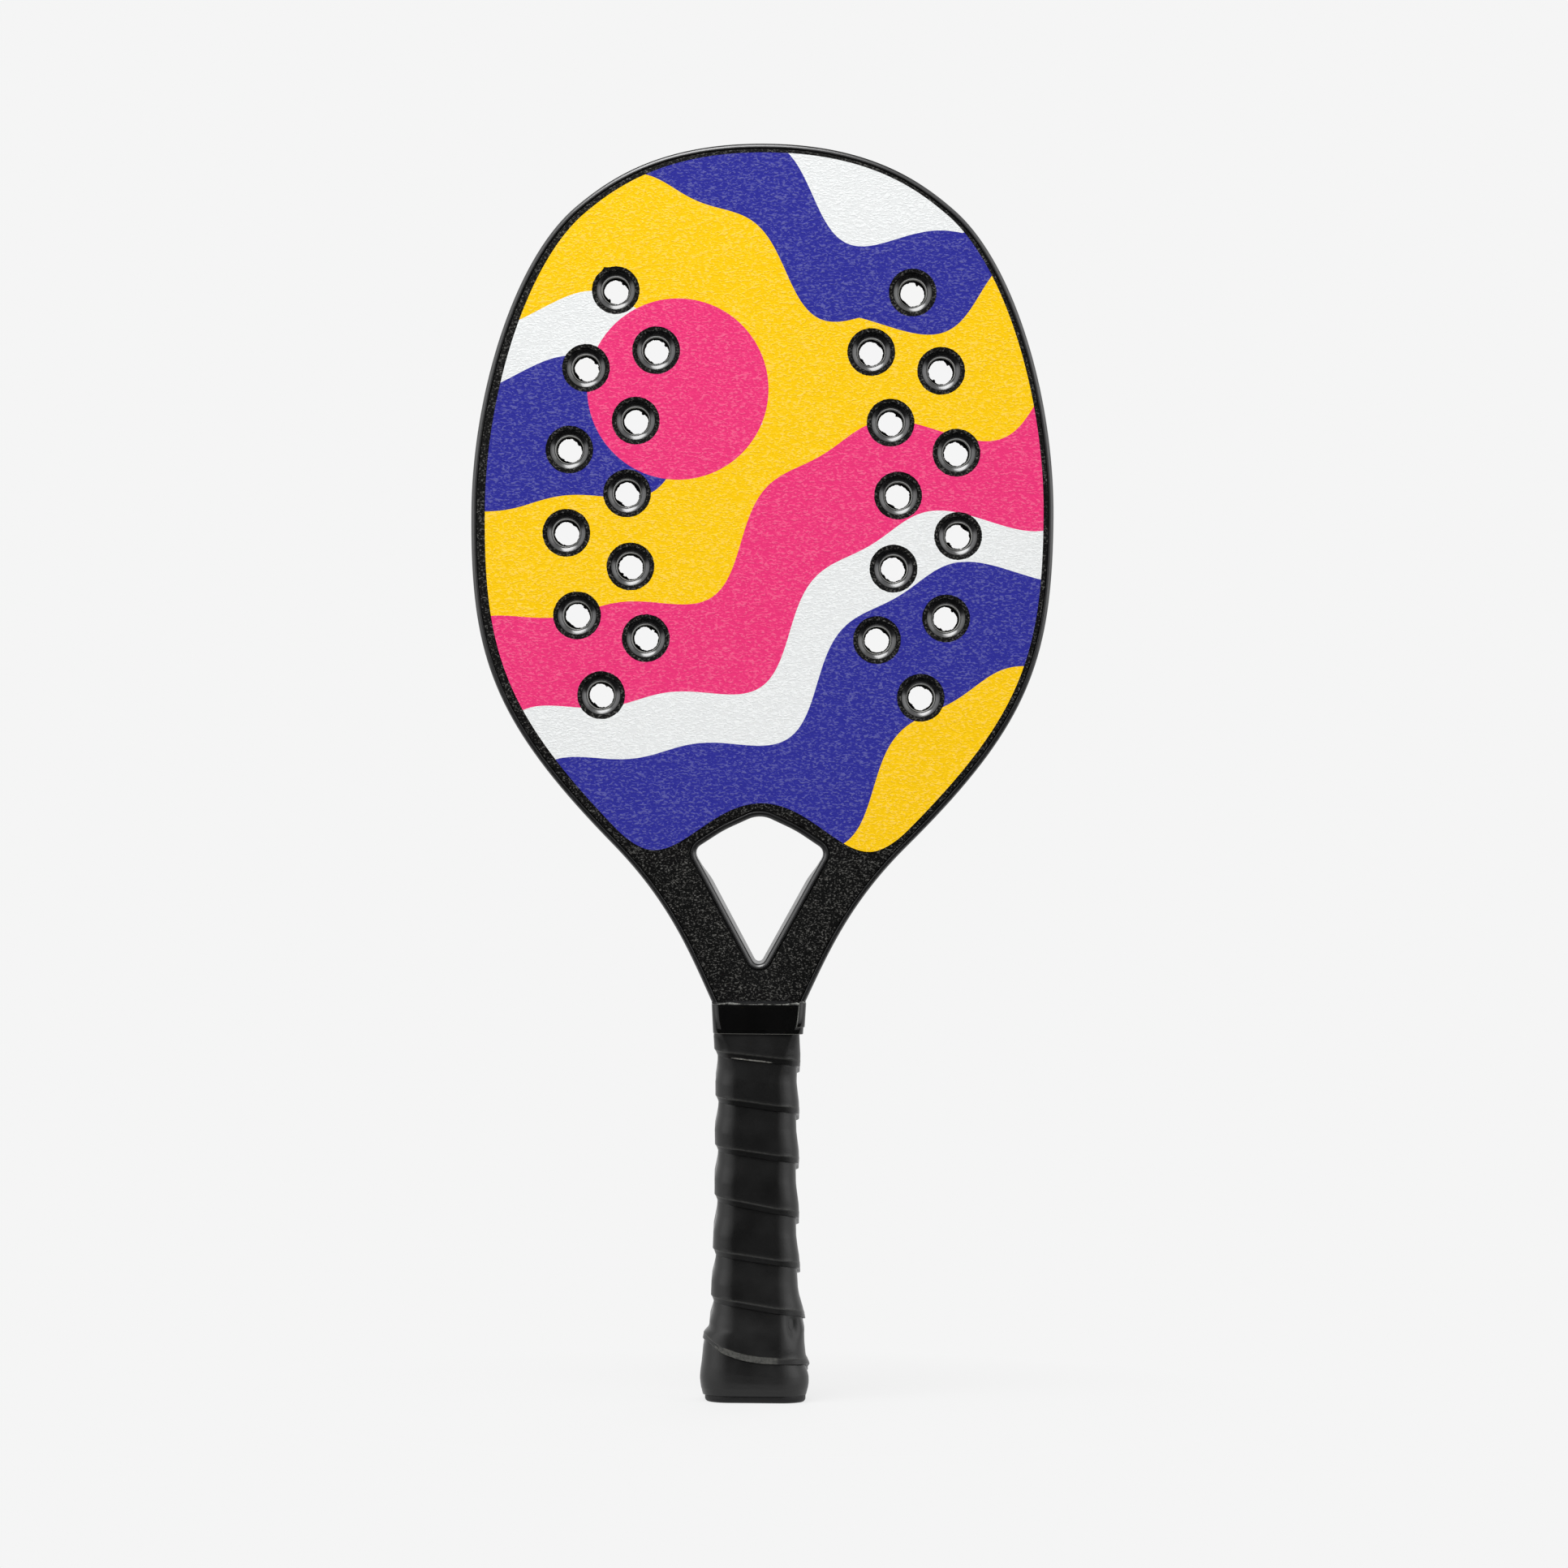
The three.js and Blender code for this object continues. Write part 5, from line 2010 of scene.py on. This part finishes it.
@dataclass(frozen=True)
class Studio:
    """A pale floor and backdrop, soft lights, dark cards for the reflections, and the camera."""

    paper: str = "#f5f5f5"
    floor_half: float = 9
    shadow_share: float = 0.16
    fade_start: float = 0.02
    fade_end: float = 0.22
    floor_albedo: str = "#dddddd"
    fill: float = 0.27
    fill_colour: str = "#ffffff"
    card_distance: float = 3.1
    card_half_width: float = 1.3
    card_gap: float = 0.1
    card_level: float = 0.002
    card_high: float = 2.2
    roof_level: float = 2.6
    card_shade: str = "#0a0a0a"
    aim: Point = (0, 0, 0.3)
    softboxes: tuple[Softbox, ...] = (
        Softbox("top_softbox", (-0.35, -0.7, 1.75), (1.15, 0.9), 29),
        Softbox("left_softbox", (-1.9, -0.9, 0.9), (1.6, 1.8), 7.2),
        Softbox("right_softbox", (1.9, -0.8, 0.9), (1.6, 1.8), 10),
        Softbox("rear_softbox", (0.3, 1.5, 1.3), (1.4, 1.0), 14, shows_in_gloss=False),
    )
    camera_place: Point = (0.00945, -2.5, 0.2455)
    camera_roll: float = 0.0082
    view_width: float = 0.6255
    sensor: float = 36

    def paper_share(self, tree: Tree) -> Node:
        """Adds the test for rays that should see the paper.

        Args:
            tree: The node tree of the world or the floor.

        Returns:
            The node that gives 1 to rays from the camera, gloss and glass, and 0 to others.
        """
        rays = add_node(tree, "LightPath").outputs
        glass = (rays["Is Glossy Ray"], rays["Is Transmission Ray"])
        seen = add_node(tree, "Math", glass, operation="MAXIMUM")
        return add_node(tree, "Math", (rays["Is Camera Ray"], seen), operation="MAXIMUM")

    def light_world(self) -> None:
        """Makes the world: the paper to look at, and an even fill as light."""
        world = bpy.data.worlds.new("studio_surround")
        world.use_nodes = True
        tree = world.node_tree
        tree.nodes.clear()
        paper = add_node(tree, "Background", (linear(self.paper), 1))
        fill = add_node(tree, "Background", (linear(self.fill_colour), self.fill))
        shown = add_node(tree, "MixShader", (self.paper_share(tree), fill, paper))
        add_node(tree, "OutputWorld", {"Surface": shown})
        bpy.context.scene.world = world

    def floor_finish(self) -> Material:
        """Makes seamless paper: a soft shadow near the object, and the backdrop further out."""
        material, tree = blank_material("seamless_paper")
        place = add_node(tree, "TexCoord").outputs["Object"]
        distance = add_node(tree, "VectorMath", (place,), operation="LENGTH").outputs["Value"]
        fade = (distance, self.fade_start, self.fade_end, 1 - self.shadow_share, 1)
        share = add_node(tree, "MapRange", fade)
        share = add_node(tree, "Math", (share, self.paper_share(tree)), operation="MULTIPLY")
        bare = add_node(tree, "BsdfDiffuse", (linear(self.floor_albedo),))
        paper = add_node(tree, "Emission", (linear(self.paper), 1))
        mixed = add_node(tree, "MixShader", (share, bare, paper))
        add_node(tree, "OutputMaterial", {"Surface": mixed})
        return material

    def panel(self, name: str, corners: list[Point], material: Material) -> Piece:
        """Makes a flat stage piece.

        Args:
            name: Its name.
            corners: Its four corners in metres.
            material: Its material.

        Returns:
            The object.
        """
        mesh = bpy.data.meshes.new(name)
        mesh.from_pydata(corners, [], [(0, 1, 2, 3)])
        mesh.materials.append(material)
        panel = bpy.data.objects.new(name, mesh)
        bpy.context.scene.collection.objects.link(panel)
        return panel

    def build(self) -> None:
        """Builds the floor, the cards, the lights and the camera."""
        self.light_world()
        half = self.floor_half
        corners = [(-half, -half, 0), (half, -half, 0), (half, half, 0), (-half, half, 0)]
        self.panel("paper_floor", corners, self.floor_finish())
        dark, tree = blank_material("black_card")
        matt = add_node(tree, "BsdfDiffuse", (linear(self.card_shade),))
        add_node(tree, "OutputMaterial", {"Surface": matt})
        wide, level, high = self.card_half_width, self.card_level, self.card_high
        far, near = -self.card_distance, -self.card_gap
        stood = [(-wide, far, level), (wide, far, level), (wide, far, high), (-wide, far, high)]
        laid = [(-wide, far, level), (wide, far, level), (wide, near, level), (-wide, near, level)]
        roof = self.roof_level
        over = [(-wide, 0, roof), (wide, 0, roof), (wide, -far, roof), (-wide, -far, roof)]
        for name, corners in (("front_card", stood), ("floor_card", laid), ("roof_card", over)):
            card = self.panel(name, corners, dark)
            card.visible_camera = False
            card.visible_diffuse = False
            card.visible_shadow = False
        for softbox in self.softboxes:
            softbox.build(self.aim)
        self.camera()

    def camera(self) -> None:
        """Makes the camera, level and turned a little about its own axis."""
        data = bpy.data.cameras.new("camera")
        data.sensor_width = self.sensor
        data.lens = self.sensor * -self.camera_place[1] / self.view_width
        camera = bpy.data.objects.new("camera", data)
        level = Euler((math.pi / 2, 0, 0)).to_matrix()
        roll = Matrix.Rotation(self.camera_roll, 3, "Z")
        camera.matrix_world = Matrix.Translation(self.camera_place) @ (level @ roll).to_4x4()
        bpy.context.scene.collection.objects.link(camera)
        bpy.context.scene.camera = camera


# The prints and foams of this racket


FRONT_PRINT = PrintedFilm(
    name="screen_printed_front_film",
    shift_mm=0,
    upper=WaveBands(
        tilt=0.35,
        waves=((15, 150, 0.4), (5, 64, 1.8)),
        start_mm=330,
        length_mm=240,
        bands=((0, INDIGO), (0.19, WHITE), (0.31, YELLOW), (0.53, INDIGO), (0.67, WHITE)),
    ),
    lower=WaveBands(
        tilt=-0.55,
        waves=((17, 170, 2.4), (5, 72, 0.3)),
        start_mm=170,
        length_mm=270,
        bands=((0, YELLOW), (0.2, INDIGO), (0.4, WHITE), (0.5, PINK), (0.67, YELLOW), (0.8725, INDIGO)),
    ),
)
BACK_PRINT = replace(FRONT_PRINT, name="screen_printed_back_film", shift_mm=31)
# How far to the right of the middle the front film was laid
FRONT_FILM_SHIFT = 0.7
EVA_FOAM = CutFoam(name="sawn_eva_foam", shade="#3a3c40", cell="#1c1d20", cell_mm=0.8)
PAD_FOAM = CutFoam(name="sawn_pad_foam", shade="#17181a", cell="#0d0e0f", cell_mm=1.1)


def main() -> None:
    """Builds the racket and the studio in order, and reports each piece."""
    logging.basicConfig(level=logging.INFO, format="%(name)s: %(message)s")
    bpy.context.scene.view_settings.view_transform = "Standard"
    outline, window, handle = Outline(), Window(), Handle()
    holes = HoleField().holes()
    rim = SatinLacqueredComposite().make()
    coat = WrinkleCoat().make()
    inks = {Face.FRONT: FRONT_PRINT.make(), Face.BACK: BACK_PRINT.make()}
    pieces = MouldedFrame(outline, window, rim).build()
    for face in Face:
        pieces.append(FaceSkin(face, outline, window, holes, coat).build())
        shift = FRONT_FILM_SHIFT if face is Face.FRONT else 0
        pieces.append(PrintedFace(face, outline, holes, inks[face], shift).build())
    pieces += HoleLiners(holes, MouldedAbs().make()).build()
    pieces.append(GripTape(handle, PolyurethaneGripTape().make()).build())
    pieces += FinishingTape(handle, GlossyVinyl().make(), TornClearFilm().make()).build()
    pieces.append(ButtCap(handle, MouldedPolypropylene().make()).build())
    foam, pad = EVA_FOAM.make(), PAD_FOAM.make()
    core = {"foam_core": foam, "handle_pallet_front": pad, "handle_pallet_back": pad}
    pieces += HiddenCore(core).dress()
    for piece in pieces:
        log.info("%s: %d faces", piece.name, len(piece.data.polygons))
    Studio().build()


if __name__ == "__main__":
    main()
